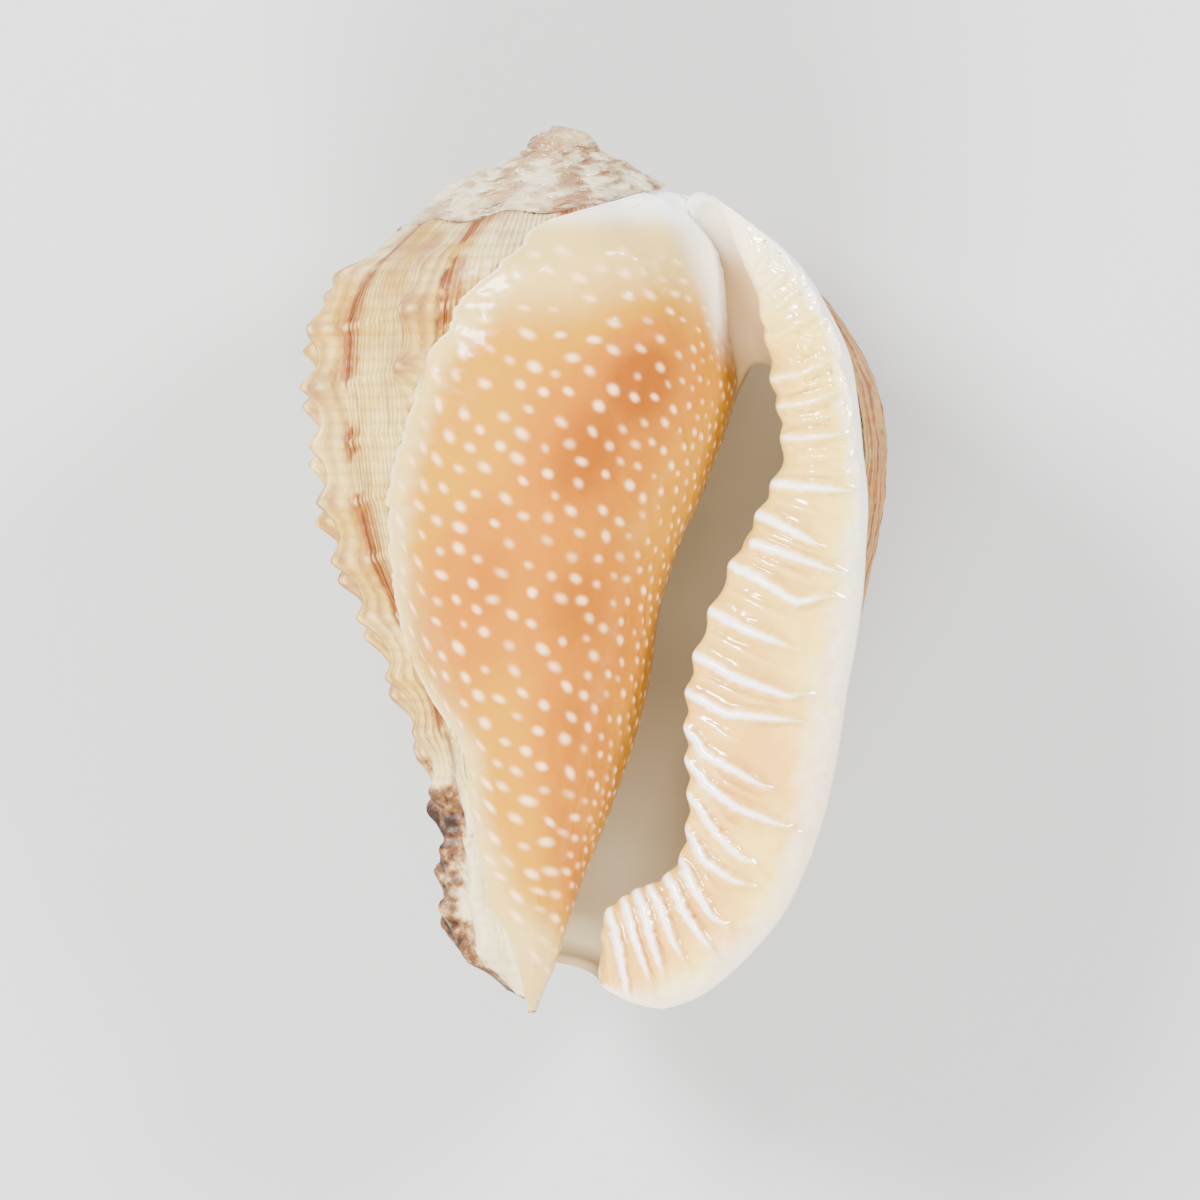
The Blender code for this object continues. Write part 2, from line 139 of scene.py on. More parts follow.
@dataclass(frozen=True)
class ShellForm:
    """The shell's driving sizes, and the smooth surfaces that every region is built on."""

    apex_x: float = -2.2
    apex_y: float = 26.1
    tip_x: float = -4.0
    tip_y: float = -26.2
    axis_z: float = 14.0
    radius_growth: float = 1.83
    drop_growth: float = 2.3
    early_drop_growth: float = 1.75
    suture_radius: float = 9.4
    suture_drop: float = 6.2
    shoulder_radius: float = 12.7
    shoulder_drop: float = 9.2
    oldest_whorl: int = -3
    dome_radius: float = 2.1
    dome_drop: float = 1.2
    suture_wave: float = 0.045
    suture_drawn_in: float = 0.3
    suture_climb: float = 0.6
    shoulder_widening: float = 0.25
    shoulder_rounding: float = 0.12
    whorl_rounding: float = 1.2
    shield_rounding: float = 0.8
    rib_step: float = 35.0
    first_rib: float = 165.0
    lip_starts: float = 290.0
    lip_ends: float = 382.0
    wall_starts: float = 75.0
    wall: float = 1.4
    levels: Row = (22.5, 20, 17, 14, 11, 8, 4, 0, -4, -8, -12, -16, -20, -23, -25, -26)
    front: Row = (11, 11, 10.9, 11, 11, 10.9, 10.5, 9.9, 9, 7.8, 6.6, 5.4, 4.2, 3, 1.6, 0.6)
    left: Row = (12, 12.5, 12.9, 13.3, 13.4, 13, 12.3, 10.9, 8.7, 6.9, 5.6, 4.9, 4.7, 3.5, 1.2, 0.4)
    back: Row = (12, 12.6, 13.4, 14, 14.4, 14.4, 14.1, 13.4, 12.4, 11, 9.4, 7.8, 6.4, 5, 3.4, 2.4)
    right: Row = (8.3, 11.2, 14.7, 17.2, 18.8, 19.5, 19.5, 18.9, 18.1, 17, 16.4, 15.6, 13.8, 11.6, 8.6, 7)
    row_angles: Row = (60, 90, 180, 270, 355, 400)
    tucked_share: float = 0.97
    bottom_angles: Row = (75, 180, 235, 270, 300, 315, 340, 382)
    bottom: Row = (-25.5, -24.9, -24.5, -23.3, -23.9, -25.1, -25.6, -25.7)
    inner_levels: Row = (26, 22.4, 20.5, 18.8, 17.5, 14, 10.9, 8.6, 6.4, 3.9, 1.8, -1.8,
                         -5.8, -9, -12.8, -15.4, -18.8, -21.3, -23.5, -26)
    columella: Row = (4, 7.5, 8.9, 9.8, 10.1, 10.2, 10.7, 10.2, 9.4, 8.5, 7.5, 6.4,
                      6.1, 5.6, 4.5, 3.6, 2.3, 1.4, 0.8, 0.3)
    parietal: Row = (4, 7.9, 9.6, 10.6, 11, 11.3, 11.3, 11, 10.6, 9.9, 9.2, 8.2,
                     7.3, 6.4, 5.3, 4.4, 3.2, 2.4, 1.6, 0.3)
    shield_thickness: float = 0.7
    shield_leaves: Row = (88.0, 125.0)
    deep_share: float = 0.75
    deep_levels: Row = (8.0, 16.0)
    deepest: float = -80.0
    spire_glaze_turn: float = 58.0
    spire_glaze_levels: Row = (19.3, 22.4)
    uneven_glaze: float = 6.0
    shield_levels: Row = (24, 22.5, 21.8, 21, 20.6, 18.5, 16.9, 15.5, 14.1, 12, 9.5, 8, 4, 0, -3, -5,
                          -7, -9, -10.5, -13, -17, -20.3, -21.6, -24, -26)
    shield_edge: Row = (6.5, 3.5, 1.2, -1.2, -2.6, -5.3, -7.2, -8.5, -8.9, -10.4, -11.3, -11.6, -12.3,
                        -12.1, -11.6, -11, -10, -8.9, -8.2, -7.9, -7.2, -6.2, -5.4, -4.8, -4.3)

    def axis_x(self, y: Array) -> Array:
        """Return X of the coiling axis at a level."""
        return self.apex_x + (self.tip_x - self.apex_x) * (self.apex_y - y) / (self.apex_y - self.tip_y)

    def coil(self, angle: Array, whorl: int) -> tuple[Array, Array, Array, Array]:
        """Return radius and drop below the apex of a whorl's suture and of its shoulder.

        Args:
            angle: degrees about the coiling axis.
            whorl: which turn: 0 is the last, and the earlier ones count down.

        Returns:
            The suture's radius and drop, and the shoulder's radius and drop.
        """
        turns = (angle - 180.0) / 360.0 + whorl
        wider = self.radius_growth**turns
        lower = self.drop_growth ** np.maximum(turns, -1.0)
        lower = lower * self.early_drop_growth ** np.minimum(turns + 1.0, 0.0)
        climbing = ease(self.lip_starts, self.lip_ends, angle) if whorl == 0 else 0.0
        phase = (turns * 360.0 + 180.0 - self.first_rib) / self.rib_step
        lower = lower * (1 + self.suture_wave * np.cos(2 * math.pi * phase))
        return (
            self.suture_radius * wider * (1 - self.suture_drawn_in * climbing),
            self.suture_drop * lower * (1 - self.suture_climb * climbing),
            self.shoulder_radius * wider * (1 + self.shoulder_widening * climbing),
            self.shoulder_drop * lower,
        )

    def spire_radius(self, angle: Array, y: Array, relief: Callable[..., Array] | None = None) -> Array:
        """Return the stepped cone of whorls.

        Args:
            angle: degrees about the axis.
            y: level along it.
            relief: adds height, given angle, whorl, its shoulder radius and the share down the whorl.

        Returns:
            The radius at each place.
        """
        drop = np.maximum(self.apex_y - y, 0.0)
        sunk = np.clip(1 - drop / self.dome_drop, 0.0, 1.0)
        dome = self.dome_radius * np.sqrt(1 - sunk**2)
        radius = dome
        for whorl in range(self.oldest_whorl, 1):
            suture, suture_drop, shoulder, shoulder_drop = self.coil(angle, whorl)
            next_suture, next_drop = self.coil(angle, whorl + 1)[:2]
            ramp = suture + (shoulder - suture) * (drop - suture_drop) / (shoulder_drop - suture_drop)
            below = (drop - shoulder_drop) / (next_drop - shoulder_drop)
            side = shoulder + (next_suture - shoulder) * below
            here = soft_least(ramp, side, self.shoulder_rounding * shoulder)
            if relief is not None:
                share = (drop - suture_drop) / (next_drop - suture_drop)
                peak = (shoulder_drop - suture_drop) / (next_drop - suture_drop)
                here = here + relief(angle, whorl, shoulder, share, peak)
            radius = np.where(drop >= suture_drop, here, radius)
        return np.maximum(radius, dome)

    def whorl_radius(self, angle: Array, y: Array) -> Array:
        """Return the last whorl's radius without its sculpture.

        Args:
            angle: degrees about the coiling axis.
            y: the level along the shell.

        Returns:
            The radius at each place.
        """
        front, left, back, right = (
            through(self.levels, row, y) for row in (self.front, self.left, self.back, self.right)
        )
        rows = (front * self.tucked_share, front, left, back, right, right)
        table = through(self.row_angles, rows, angle)
        return soft_least(self.spire_radius(angle, y), table, self.whorl_rounding)

    def glaze_end(self, y: Array) -> Array:
        """Return the angle at which the shield's glaze ends inside the aperture and beside the spire."""
        uneven = self.uneven_glaze * wander(19, y / 2.2, octaves=2) * ease(16.0, 19.5, y)
        return self.deepest + self.spire_glaze_turn * ease(*self.spire_glaze_levels, y) + uneven

    def shield_radius(self, angle: Array, y: Array, thickness: Array | float) -> Array:
        """Return the radius of parietal wall and columella, with the shield's thickness on it.

        Args:
            angle: degrees about the coiling axis.
            y: the level along the shell.
            thickness: how thick the shield is there.

        Returns:
            The radius at each place.
        """
        right = through(self.inner_levels, self.columella, y)
        upper = through(self.inner_levels, self.parietal, y)
        front = through(self.levels, self.front, y) + self.shield_thickness
        deep = right * (self.deep_share + (1 - self.deep_share) * ease(*self.deep_levels, y))
        corner = self.whorl_radius(135.0 + 0 * y, y) + self.shield_thickness
        table = through((-180, -90, 0, 45, 90, 135), (deep, deep, right, upper, front, corner), angle)
        table = table + (thickness - self.shield_thickness) * ease(0.0, 60.0, angle)
        near_axis = soft_least(self.spire_radius(angle, y) + thickness, table, self.shield_rounding)
        outer = self.whorl_radius(np.maximum(angle, 60.0), y) + thickness
        return near_axis + (outer - near_axis) * ease(*self.shield_leaves, angle)

    def edge_angle(self, y: Array) -> Array:
        """Return the angle at which the shield's left edge crosses each level.

        Args:
            y: the level along the shell.

        Returns:
            The angle at each level.
        """
        target = through(self.shield_levels, self.shield_edge, y) - self.axis_x(y)
        radius = through(self.levels, self.front, y)
        angle = 120.0 + 0 * y
        for _ in range(12):
            angle = np.degrees(np.arccos(np.clip(target / radius, -0.98, 0.98)))
            radius = 0.5 * radius + 0.5 * self.whorl_radius(angle, y)
        return angle

    def place(self, angle: Array, y: Array, radius: Array) -> Array:
        """Return points in millimetres from angle, level and radius.

        Args:
            angle: degrees about the coiling axis.
            y: the level along the shell.
            radius: the distance from the coiling axis.

        Returns:
            One row of X, Y and Z per place.
        """
        a = np.radians(angle)
        x, z = self.axis_x(y) + radius * np.cos(a), self.axis_z + radius * np.sin(a)
        return np.stack([x, y, z], axis=1)


@dataclass(frozen=True)
class Sculpture:
    """Axial ribs, the spiral cords that raise knobs on them, and finer threads."""

    rib_step: float = 35.0
    first_rib: float = 165.0
    rib_height: float = 1.3
    steep_side: float = 0.55
    gentle_side: float = 1.15
    cord_step: float = 3.4
    cord_fall: float = 11.5
    first_cord: float = 17.0
    cord_height: float = 0.15
    cord_width: float = 0.34
    knob_height: float = 0.85
    knob_width: float = 0.85
    node_width: float = 0.28

    def rib_distance(self, angle: Array, radius: Array) -> Array:
        """Return millimetres to the nearest rib's crest, negative on its older side."""
        phase = (angle - self.first_rib) / self.rib_step
        return (phase - np.round(phase)) * math.radians(self.rib_step) * radius

    def cord_distance(self, angle: Array, y: Array) -> Array:
        """Return millimetres along the axis to the nearest spiral cord."""
        phase = (self.first_cord - y - self.cord_fall * (angle - 180.0) / 360.0) / self.cord_step
        return (phase - np.round(phase)) * self.cord_step

    def rib(self, distance: Array) -> Array:
        """Return 1 on a rib's crest, falling steeply on the older side and gently on the other."""
        return bump(distance, np.where(distance < 0, self.steep_side, self.gentle_side))

    def node(self, total: Array) -> Array:
        """Return 1 on the crests of the spire's nodes, given the angle turned since the lip's whorl."""
        phase = (total - self.first_rib) / self.rib_step
        return bump(phase - np.round(phase), self.node_width)


def deselect_all() -> None:
    """Leave nothing selected, in object mode."""
    bpy.ops.object.select_all(action="DESELECT")


def unit_sphere(columns: int, rings: int) -> tuple[bpy.types.Object, Array, Array]:
    """Add a UV sphere to be shaped.

    Args:
        columns: how many columns of faces it has.
        rings: how many rings from pole to pole.

    Returns:
        The object, each vertex's angle in degrees from -180 to 180, and its share from pole to pole.
    """
    deselect_all()
    bpy.ops.mesh.primitive_uv_sphere_add(segments=columns // 2, ring_count=rings // 2, radius=1.0)
    made = bpy.context.active_object
    finer = made.modifiers.new("finer", "SUBSURF")
    finer.subdivision_type, finer.levels = "SIMPLE", 1
    bpy.ops.object.modifier_apply(modifier=finer.name)
    unit = np.empty(len(made.data.vertices) * 3)
    made.data.vertices.foreach_get("co", unit)
    unit = unit.reshape(-1, 3)
    angle = np.degrees(np.arctan2(unit[:, 1], unit[:, 0]))
    share = np.arctan2(np.hypot(unit[:, 0], unit[:, 1]), unit[:, 2]) / math.pi
    return made, angle, np.where(share > 1 - 1e-6, 1.0, np.where(share < 1e-6, 0.0, share))


def complete(
    made: bpy.types.Object,
    name: str,
    points: Array,
    stored: dict[str, Array],
    *finishes: bpy.types.Material,
) -> None:
    """Shape a closed mesh, face it outward and dress it, and say that it stands for the shell's solid.

    Args:
        made: the mesh to shape.
        name: the piece's name.
        points: where its vertices go, in millimetres.
        stored: a number for each vertex, by the name that a finish reads it under.
        finishes: its materials.
    """
    mesh = made.data
    made.name = mesh.name = name
    mesh.vertices.foreach_set("co", np.ascontiguousarray(points * MM, dtype=np.float32).ravel())
    mesh.update()
    for key, values in stored.items():
        layer = mesh.attributes.new(key, "FLOAT", "POINT")
        layer.data.foreach_set("value", np.ascontiguousarray(values, dtype=np.float32))
    deselect_all()
    made.select_set(True)
    bpy.context.view_layer.objects.active = made
    bpy.ops.object.mode_set(mode="EDIT")
    bpy.ops.mesh.select_all(action="SELECT")
    bpy.ops.mesh.normals_make_consistent(inside=False)
    bpy.ops.object.mode_set(mode="OBJECT")
    bpy.ops.object.shade_smooth()
    for finish in finishes:
        mesh.materials.append(finish)
    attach(made, "root")
    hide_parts("shell")
    log.info("%s: %d faces", name, len(mesh.polygons))


def line_faces(made: bpy.types.Object, inside: Array) -> None:
    """Give the second material to the faces whose corners all lie inside.

    Args:
        made: the mesh.
        inside: whether each of its vertices lies inside.
    """
    mesh = made.data
    corners = np.empty(len(mesh.loops), dtype=int)
    mesh.loops.foreach_get("vertex_index", corners)
    starts = np.empty(len(mesh.polygons), dtype=int)
    mesh.polygons.foreach_get("loop_start", starts)
    lining = np.minimum.reduceat(inside[corners].astype(int), starts)
    mesh.polygons.foreach_set("material_index", lining)


class Term:
    """A shader socket that can be used in arithmetic."""

    def __init__(self, tree: "Recipe", socket: bpy.types.NodeSocket) -> None:
        """Wrap a socket of a recipe's node tree."""
        self.tree, self.socket = tree, socket

    def _math(self, operation: str, *values: Any) -> "Term":
        """Return the result of a Math node."""
        return self.tree.node("ShaderNodeMath", {"operation": operation}, dict(enumerate(values)))

    def __add__(self, other: Any) -> "Term":
        """Return self + other."""
        return self._math("ADD", self, other)

    __radd__ = __add__

    def __sub__(self, other: Any) -> "Term":
        """Return self - other."""
        return self._math("SUBTRACT", self, other)

    def __rsub__(self, other: Any) -> "Term":
        """Return other - self."""
        return self._math("SUBTRACT", other, self)

    def __mul__(self, other: Any) -> "Term":
        """Return self * other."""
        return self._math("MULTIPLY", self, other)

    __rmul__ = __mul__

    def sine(self) -> "Term":
        """Return the sine."""
        return self._math("SINE", self)

    def ramp(self, low: float, high: float, start: float = 0.0, end: float = 1.0) -> "Term":
        """Return a smooth rise from start to end as this goes from low to high.

        Args:
            low: where the rise begins.
            high: where it ends.
            start: the value below low.
            end: the value above high.

        Returns:
            The risen term.
        """
        settings = {"interpolation_type": "SMOOTHSTEP", "clamp": True}
        values = {"Value": self, "From Min": low, "From Max": high, "To Min": start, "To Max": end}
        return self.tree.node("ShaderNodeMapRange", settings, values)


class Recipe:
    """One material's node tree, written as expressions."""

    def __init__(self, name: str, colour: Colour) -> None:
        """Start a material with an empty tree and its ground colour.

        Args:
            name: the material's name.
            colour: what lies under every other colour.
        """
        self.colour: Any = colour
        self.material = bpy.data.materials.new(name)
        self.material.use_nodes = True
        self.nodes = self.material.node_tree.nodes
        self.links = self.material.node_tree.links
        self.nodes.clear()

    def node(self, kind: str, settings: dict[str, Any], values: dict[Any, Any], output: Any = 0) -> Term:
        """Add a node.

        Args:
            kind: the node's type.
            settings: its properties, set first.
            values: its sockets' values or links, by name or number.
            output: the name or number of the output to return.

        Returns:
            The output as a term.
        """
        made = self.nodes.new(kind)
        for key, value in settings.items():
            setattr(made, key, value)
        for key, value in values.items():
            self.put(made.inputs[key], value)
        return Term(self, made.outputs[output])

    def put(self, socket: bpy.types.NodeSocket, value: Any) -> None:
        """Link a term to a socket, or set its value.

        Args:
            socket: the input to fill.
            value: a term, a number or a row of numbers.
        """
        if isinstance(value, Term):
            self.links.new(value.socket, socket)
        elif isinstance(value, tuple) and len(value) == 3 and socket.type == "RGBA":
            socket.default_value = (*value, 1.0)
        else:
            socket.default_value = value

    def read(self, name: str) -> Term:
        """Return a number stored on the mesh."""
        return self.node("ShaderNodeAttribute", {"attribute_name": name}, {}, "Fac")

    def noise(
        self, scale: float, detail: float, roughness: float = 0.55, place: Term | None = None
    ) -> Term:
        """Return noise from 0 to 1.

        Args:
            scale: spots per metre.
            detail: how many finer layers it has.
            roughness: how strong the finer layers are.
            place: where it is read, or Object coordinates if None.

        Returns:
            The noise.
        """
        at = place or self.node("ShaderNodeTexCoord", {}, {}, "Object")
        values = {"Vector": at, "Scale": scale, "Detail": detail, "Roughness": roughness}
        return self.node("ShaderNodeTexNoise", {"noise_dimensions": "3D"}, values, "Fac")

    def point(self, x: Any, y: Any, z: Any = 0.0) -> Term:
        """Return a vector of three numbers or terms."""
        return self.node("ShaderNodeCombineXYZ", {}, {0: x, 1: y, 2: z})

    def lay(self, share: Term, over: Colour) -> None:
        """Lay a colour on the colour so far, by share."""
        settings = {"data_type": "RGBA", "clamp_factor": True}
        self.colour = self.node("ShaderNodeMix", settings, {0: share, 6: self.colour, 7: over}, 2)

    def bumped(self, height: Term, distance: float) -> Term:
        """Return the normal of a surface raised by height times distance, in metres."""
        return self.node("ShaderNodeBump", {}, {"Height": height, "Distance": distance})

    def specks(self, scale: float, size: float, patch_scale: float, rarity: float) -> Term:
        """Return small round dots of the given size, in patches that are rarer with rarity."""
        near = self.node("ShaderNodeTexVoronoi", {}, {"Scale": scale, "Randomness": 1.0}, "Distance")
        return near.ramp(size, size - 0.02) * self.noise(patch_scale, 1.0).ramp(rarity, rarity + 0.04)

    def finish(self, values: dict[str, Any]) -> bpy.types.Material:
        """Close the tree with a Principled shader of the laid colour.

        Args:
            values: the shader's inputs by name.

        Returns:
            The material.
        """
        shader = self.nodes.new("ShaderNodeBsdfPrincipled")
        for key, value in {"Base Color": self.colour, **values}.items():
            self.put(shader.inputs[key], value)
        output = self.nodes.new("ShaderNodeOutputMaterial")
        self.links.new(shader.outputs[0], output.inputs[0])
        return self.material


@dataclass(frozen=True)
class RibbedOutside:
    """The dull ivory outside, stained tan and brown along its ribs, with three broken brown bands."""

    ivory: Colour = (0.46, 0.27, 0.04)
    pale: Colour = (0.66, 0.48, 0.14)
    tan: Colour = (0.22, 0.09, 0.018)
    brown: Colour = (0.075, 0.026, 0.009)
    rust: Colour = (0.24, 0.066, 0.006)
    pinkish: Colour = (0.26, 0.115, 0.06)
    dark: Colour = (0.02, 0.01, 0.006)
    bone: Colour = (0.60, 0.50, 0.27)
    ochre: Colour = (0.37, 0.17, 0.022)

    def make(self) -> bpy.types.Material:
        """Build the material.

        Returns:
            The material.
        """
        r = Recipe("ribbed_outside", self.ivory)
        growth, level = r.read("growth"), r.read("level")
        cloud, fine = r.noise(190.0, 3.0), r.noise(950.0, 4.0, 0.6)
        streaks = r.noise(1.0, 4.0, 0.6, r.point(growth * 0.4, level * 0.07))
        patches = r.noise(1.0, 3.0, 0.55, r.point(growth * 0.3, level * 0.3, 7.0))
        r.lay(cloud.ramp(0.38, 0.66), self.pale)
        r.lay(streaks.ramp(0.5, 0.66) * 0.55, self.tan)
        crown = r.read("crown")
        r.lay(crown * cloud.ramp(0.35, 0.55) * 0.85, self.bone)
        r.lay(crown * patches.ramp(0.48, 0.6) * 0.7, self.pinkish)
        plain = 1.0 - r.read("stain") * 0.95
        lines = (growth * 14.5 + cloud * 5.0).sine() * 0.5 + 0.5
        rings = (level * 8.5 + fine * 1.5).sine() * 0.5 + 0.5
        r.lay(lines.ramp(0.4, 0.0) * plain * 0.3, self.tan)
        r.lay(rings.ramp(0.4, 0.0) * plain * 0.22, self.tan)
        flank = r.read("flank") * patches.ramp(0.3, 0.5)
        r.lay(flank.ramp(0.2, 0.9), self.rust)
        r.lay(flank.ramp(0.45, 1.0) * lines.ramp(0.7, 0.3) * 0.8, self.brown)
        r.lay(r.read("knob") * patches.ramp(0.55, 0.45) * 0.8, self.pinkish)
        r.lay(r.read("cord").ramp(0.4, 1.0) * lines.ramp(0.2, 0.7) * 0.6, self.pale)
        broken = r.noise(1.0, 3.0, 0.6, r.point(growth * 0.6, level * 0.35, 3.0)).ramp(0.44, 0.54)
        r.lay(r.read("band") * broken * 0.85, self.rust)
        varix = r.read("varix")
        r.lay(varix * 0.8, self.ochre)
        stripe = (growth * 6.5 + patches * 7.0).sine().ramp(0.0, 0.6) * streaks.ramp(0.35, 0.5)
        r.lay(varix * stripe * fine.ramp(0.3, 0.5) * 0.95, self.rust)
        r.lay(varix * lines.ramp(0.85, 1.0) * patches.ramp(0.4, 0.55), self.brown)
        # Painted light: lightens the smooth zone beside the siphonal canal toward bone, standing in for
        # light from the lower left.
        r.lay(r.read("stain") * cloud.ramp(0.25, 0.5, 0.5, 1.0), self.bone)
        shade = r.read("speckled") * 0.42 + fine * 0.7 + r.noise(420.0, 4.0, 0.65) * 0.6 - 0.15
        r.lay(shade.ramp(0.64, 0.8) * 0.8, self.tan)
        r.lay(shade.ramp(0.76, 0.88) * 0.9, self.brown)
        r.lay(shade.ramp(0.88, 0.97), self.dark)
        height = lines * plain * 0.6 + rings * 0.3 + fine * 0.7
        return r.finish({
            "IOR": 1.5,
            "Specular IOR Level": 0.3,
            "Coat Roughness": 0.2,
            "Roughness": fine.ramp(0.3, 0.7, 0.42, 0.62),
            "Coat Weight": cloud.ramp(0.4, 0.7, 0.0, 0.25) * plain * (1.0 - varix),
            "Normal": r.bumped(height, 0.00022),
        })


@dataclass(frozen=True)
class SpireSkin:
    """The worn spire: greyish white with tan and brown stains between its nodes."""

    white: Colour = (0.56, 0.47, 0.29)
    ivory: Colour = (0.32, 0.19, 0.07)
    tan: Colour = (0.20, 0.085, 0.028)
    brown: Colour = (0.08, 0.03, 0.014)
    pink: Colour = (0.24, 0.105, 0.07)

    def make(self) -> bpy.types.Material:
        """Build the material.

        Returns:
            The material.
        """
        r = Recipe("spire_skin", self.ivory)
        cloud, fine = r.noise(300.0, 4.0), r.noise(1200.0, 4.0, 0.6)
        patches = r.noise(210.0, 3.0, 0.55)
        raised = r.read("raised") * 0.6 + (cloud - 0.5) * 1.6 + (fine - 0.5) * 0.8
        r.lay(raised.ramp(-0.3, 0.5), self.white)
        r.lay(patches.ramp(0.5, 0.62) * raised.ramp(0.5, -0.2) * 0.9, self.tan)
        seam = r.read("suture").ramp(0.35, 1.0)
        r.lay(seam * patches.ramp(0.46, 0.6) * 0.6, self.brown)
        r.lay(r.read("apex") * 0.85, self.pink)
        around = r.point(r.read("across") * 0.35, r.read("level") * 1.3, r.read("behind") * 0.35)
        streaks = r.noise(1.0, 4.0, 0.6, around)
        r.lay(streaks.ramp(0.5, 0.68) * 0.5, self.tan)
        r.lay(streaks.ramp(0.5, 0.34) * 0.6, self.white)
        height = streaks * 1.6 + fine * 0.8 + cloud * 1.2
        return r.finish({
            "IOR": 1.5,
            "Specular IOR Level": 0.35,
            "Coat Roughness": 0.12,
            "Roughness": fine.ramp(0.3, 0.7, 0.36, 0.55),
            "Coat Weight": cloud.ramp(0.3, 0.7, 0.3, 0.8),
            "Normal": r.bumped(height, 0.00038),
        })


@dataclass(frozen=True)
class ShieldGlaze:
    """The glossy parietal shield: deep orange, cream toward its edges, with pinkish white pustules."""

    cream: Colour = (0.56, 0.38, 0.11)
    amber: Colour = (0.42, 0.182, 0.0)
    orange: Colour = (0.375, 0.116, 0.0)
    deep: Colour = (0.25, 0.064, 0.0)
    # white: the fold's own white, set near full brightness so that it also serves as a painted highlight
    white: Colour = (0.86, 0.87, 0.90)
    pustule: Colour = (0.90, 0.53, 0.26)
    speck: Colour = (0.05, 0.035, 0.025)

    def make(self) -> bpy.types.Material:
        """Build the material.

        Returns:
            The material.
        """
        r = Recipe("shield_glaze", self.cream)
        cloud = r.noise(170.0, 3.0)
        warmth = r.read("warmth") + (cloud - 0.5) * 0.22
        r.lay(warmth.ramp(0.02, 0.4), self.amber)
        r.lay(warmth.ramp(0.34, 0.7), self.orange)
        r.lay(warmth.ramp(0.72, 1.05), self.deep)
        # Lays the white of the columellar fold, the shield's top and its lower edge; on the fold this
        # white is partly a painted highlight of its glossy reflection.
        r.lay(r.read("whiteness"), self.white)
        shape = r.read("pustule") + (r.noise(900.0, 2.0) - 0.5) * 0.25
        r.lay(shape.ramp(0.12, 1.0) * 0.95, self.pustule)
        r.lay(r.specks(240.0, 0.05, 110.0, 0.56), self.speck)
        return r.finish({
            "IOR": 1.4,
            "Specular IOR Level": 0.3,
            "Coat IOR": 1.4,
            "Coat Roughness": 0.05,
            "Roughness": cloud.ramp(0.3, 0.7, 0.24, 0.34),
            "Coat Weight": cloud.ramp(0.3, 0.7, 0.25, 0.5),
            "Normal": r.bumped(r.noise(450.0, 2.0), 0.00008),
        })


@dataclass(frozen=True)
class LipGlaze:
    """The cream outer lip: lilac-white glossy ridges, peach between them, and a translucent white rim."""

    cream: Colour = (0.80, 0.58, 0.13)
    peach: Colour = (0.74, 0.40, 0.08)
    white: Colour = (0.78, 0.73, 0.62)
    ridge: Colour = (0.95, 0.88, 0.86)
    hollow: Colour = (0.58, 0.28, 0.04)
    speck: Colour = (0.04, 0.03, 0.025)

    def make(self) -> bpy.types.Material:
        """Build the material.

        Returns:
            The material.
        """
        r = Recipe("lip_glaze", self.cream)
        cloud = r.noise(220.0, 3.0)
        r.lay(r.read("lower") * cloud.ramp(0.25, 0.6), self.peach)
        r.lay(r.read("hollow") * cloud.ramp(0.3, 0.7, 0.3, 0.75), self.hollow)
        r.lay(r.read("rim") * (1.0 - r.read("lower") * 0.35), self.white)
        r.lay(r.read("ridge").ramp(0.3, 0.95) * 0.9, self.ridge)
        r.lay(r.specks(330.0, 0.055, 90.0, 0.53), self.speck)
        return r.finish({
            "IOR": 1.53,
            "Subsurface Weight": 0.12,
            "Subsurface Radius": (0.0014, 0.001, 0.0006),
            "Subsurface Scale": 1.0,
            "Coat Roughness": 0.03,
            "Roughness": cloud.ramp(0.3, 0.7, 0.18, 0.3),
            "Coat Weight": cloud.ramp(0.3, 0.7, 0.7, 0.95),
            "Normal": r.bumped(r.noise(520.0, 2.0), 0.00012),
        })


@dataclass(frozen=True)
class InnerGloss:
    """The smooth tan interior, with painted shade darkening the posterior canal's groove and the wall's
    rim at the siphonal notch.
    """

    tan: Colour = (0.55, 0.44, 0.26)
    beige: Colour = (0.60, 0.47, 0.28)
    # groove: the canal's beige darkened further into painted shade, for the groove's depth and the
    # shadowed rim at the siphonal notch
    groove: Colour = (0.32, 0.20, 0.085)
    white: Colour = (0.80, 0.76, 0.68)

    def make(self) -> bpy.types.Material:
        """Build the material.

        Returns:
            The material.
        """
        r = Recipe("inner_gloss", self.tan)
        cloud = r.noise(120.0, 2.0)
        r.lay(cloud.ramp(0.3, 0.7), self.beige)
        # Painted shade: the canal mask darkens the groove and the siphonal rim toward the groove colour.
        r.lay(r.read("canal"), self.groove)
        r.lay(r.read("rim"), self.white)
        return r.finish({
            "IOR": 1.5,
            "Coat Weight": 0.2,
            "Coat Roughness": 0.15,
            "Roughness": cloud.ramp(0.3, 0.7, 0.3, 0.42),
            "Normal": r.bumped(r.noise(300.0, 2.0), 0.00002),
        })


class Finish(Enum):
    """The shell's finishes."""

    OUTSIDE = RibbedOutside()
    SPIRE = SpireSkin()
    SHIELD = ShieldGlaze()
    LIP = LipGlaze()
    INSIDE = InnerGloss()


Materials = dict[Finish, bpy.types.Material]


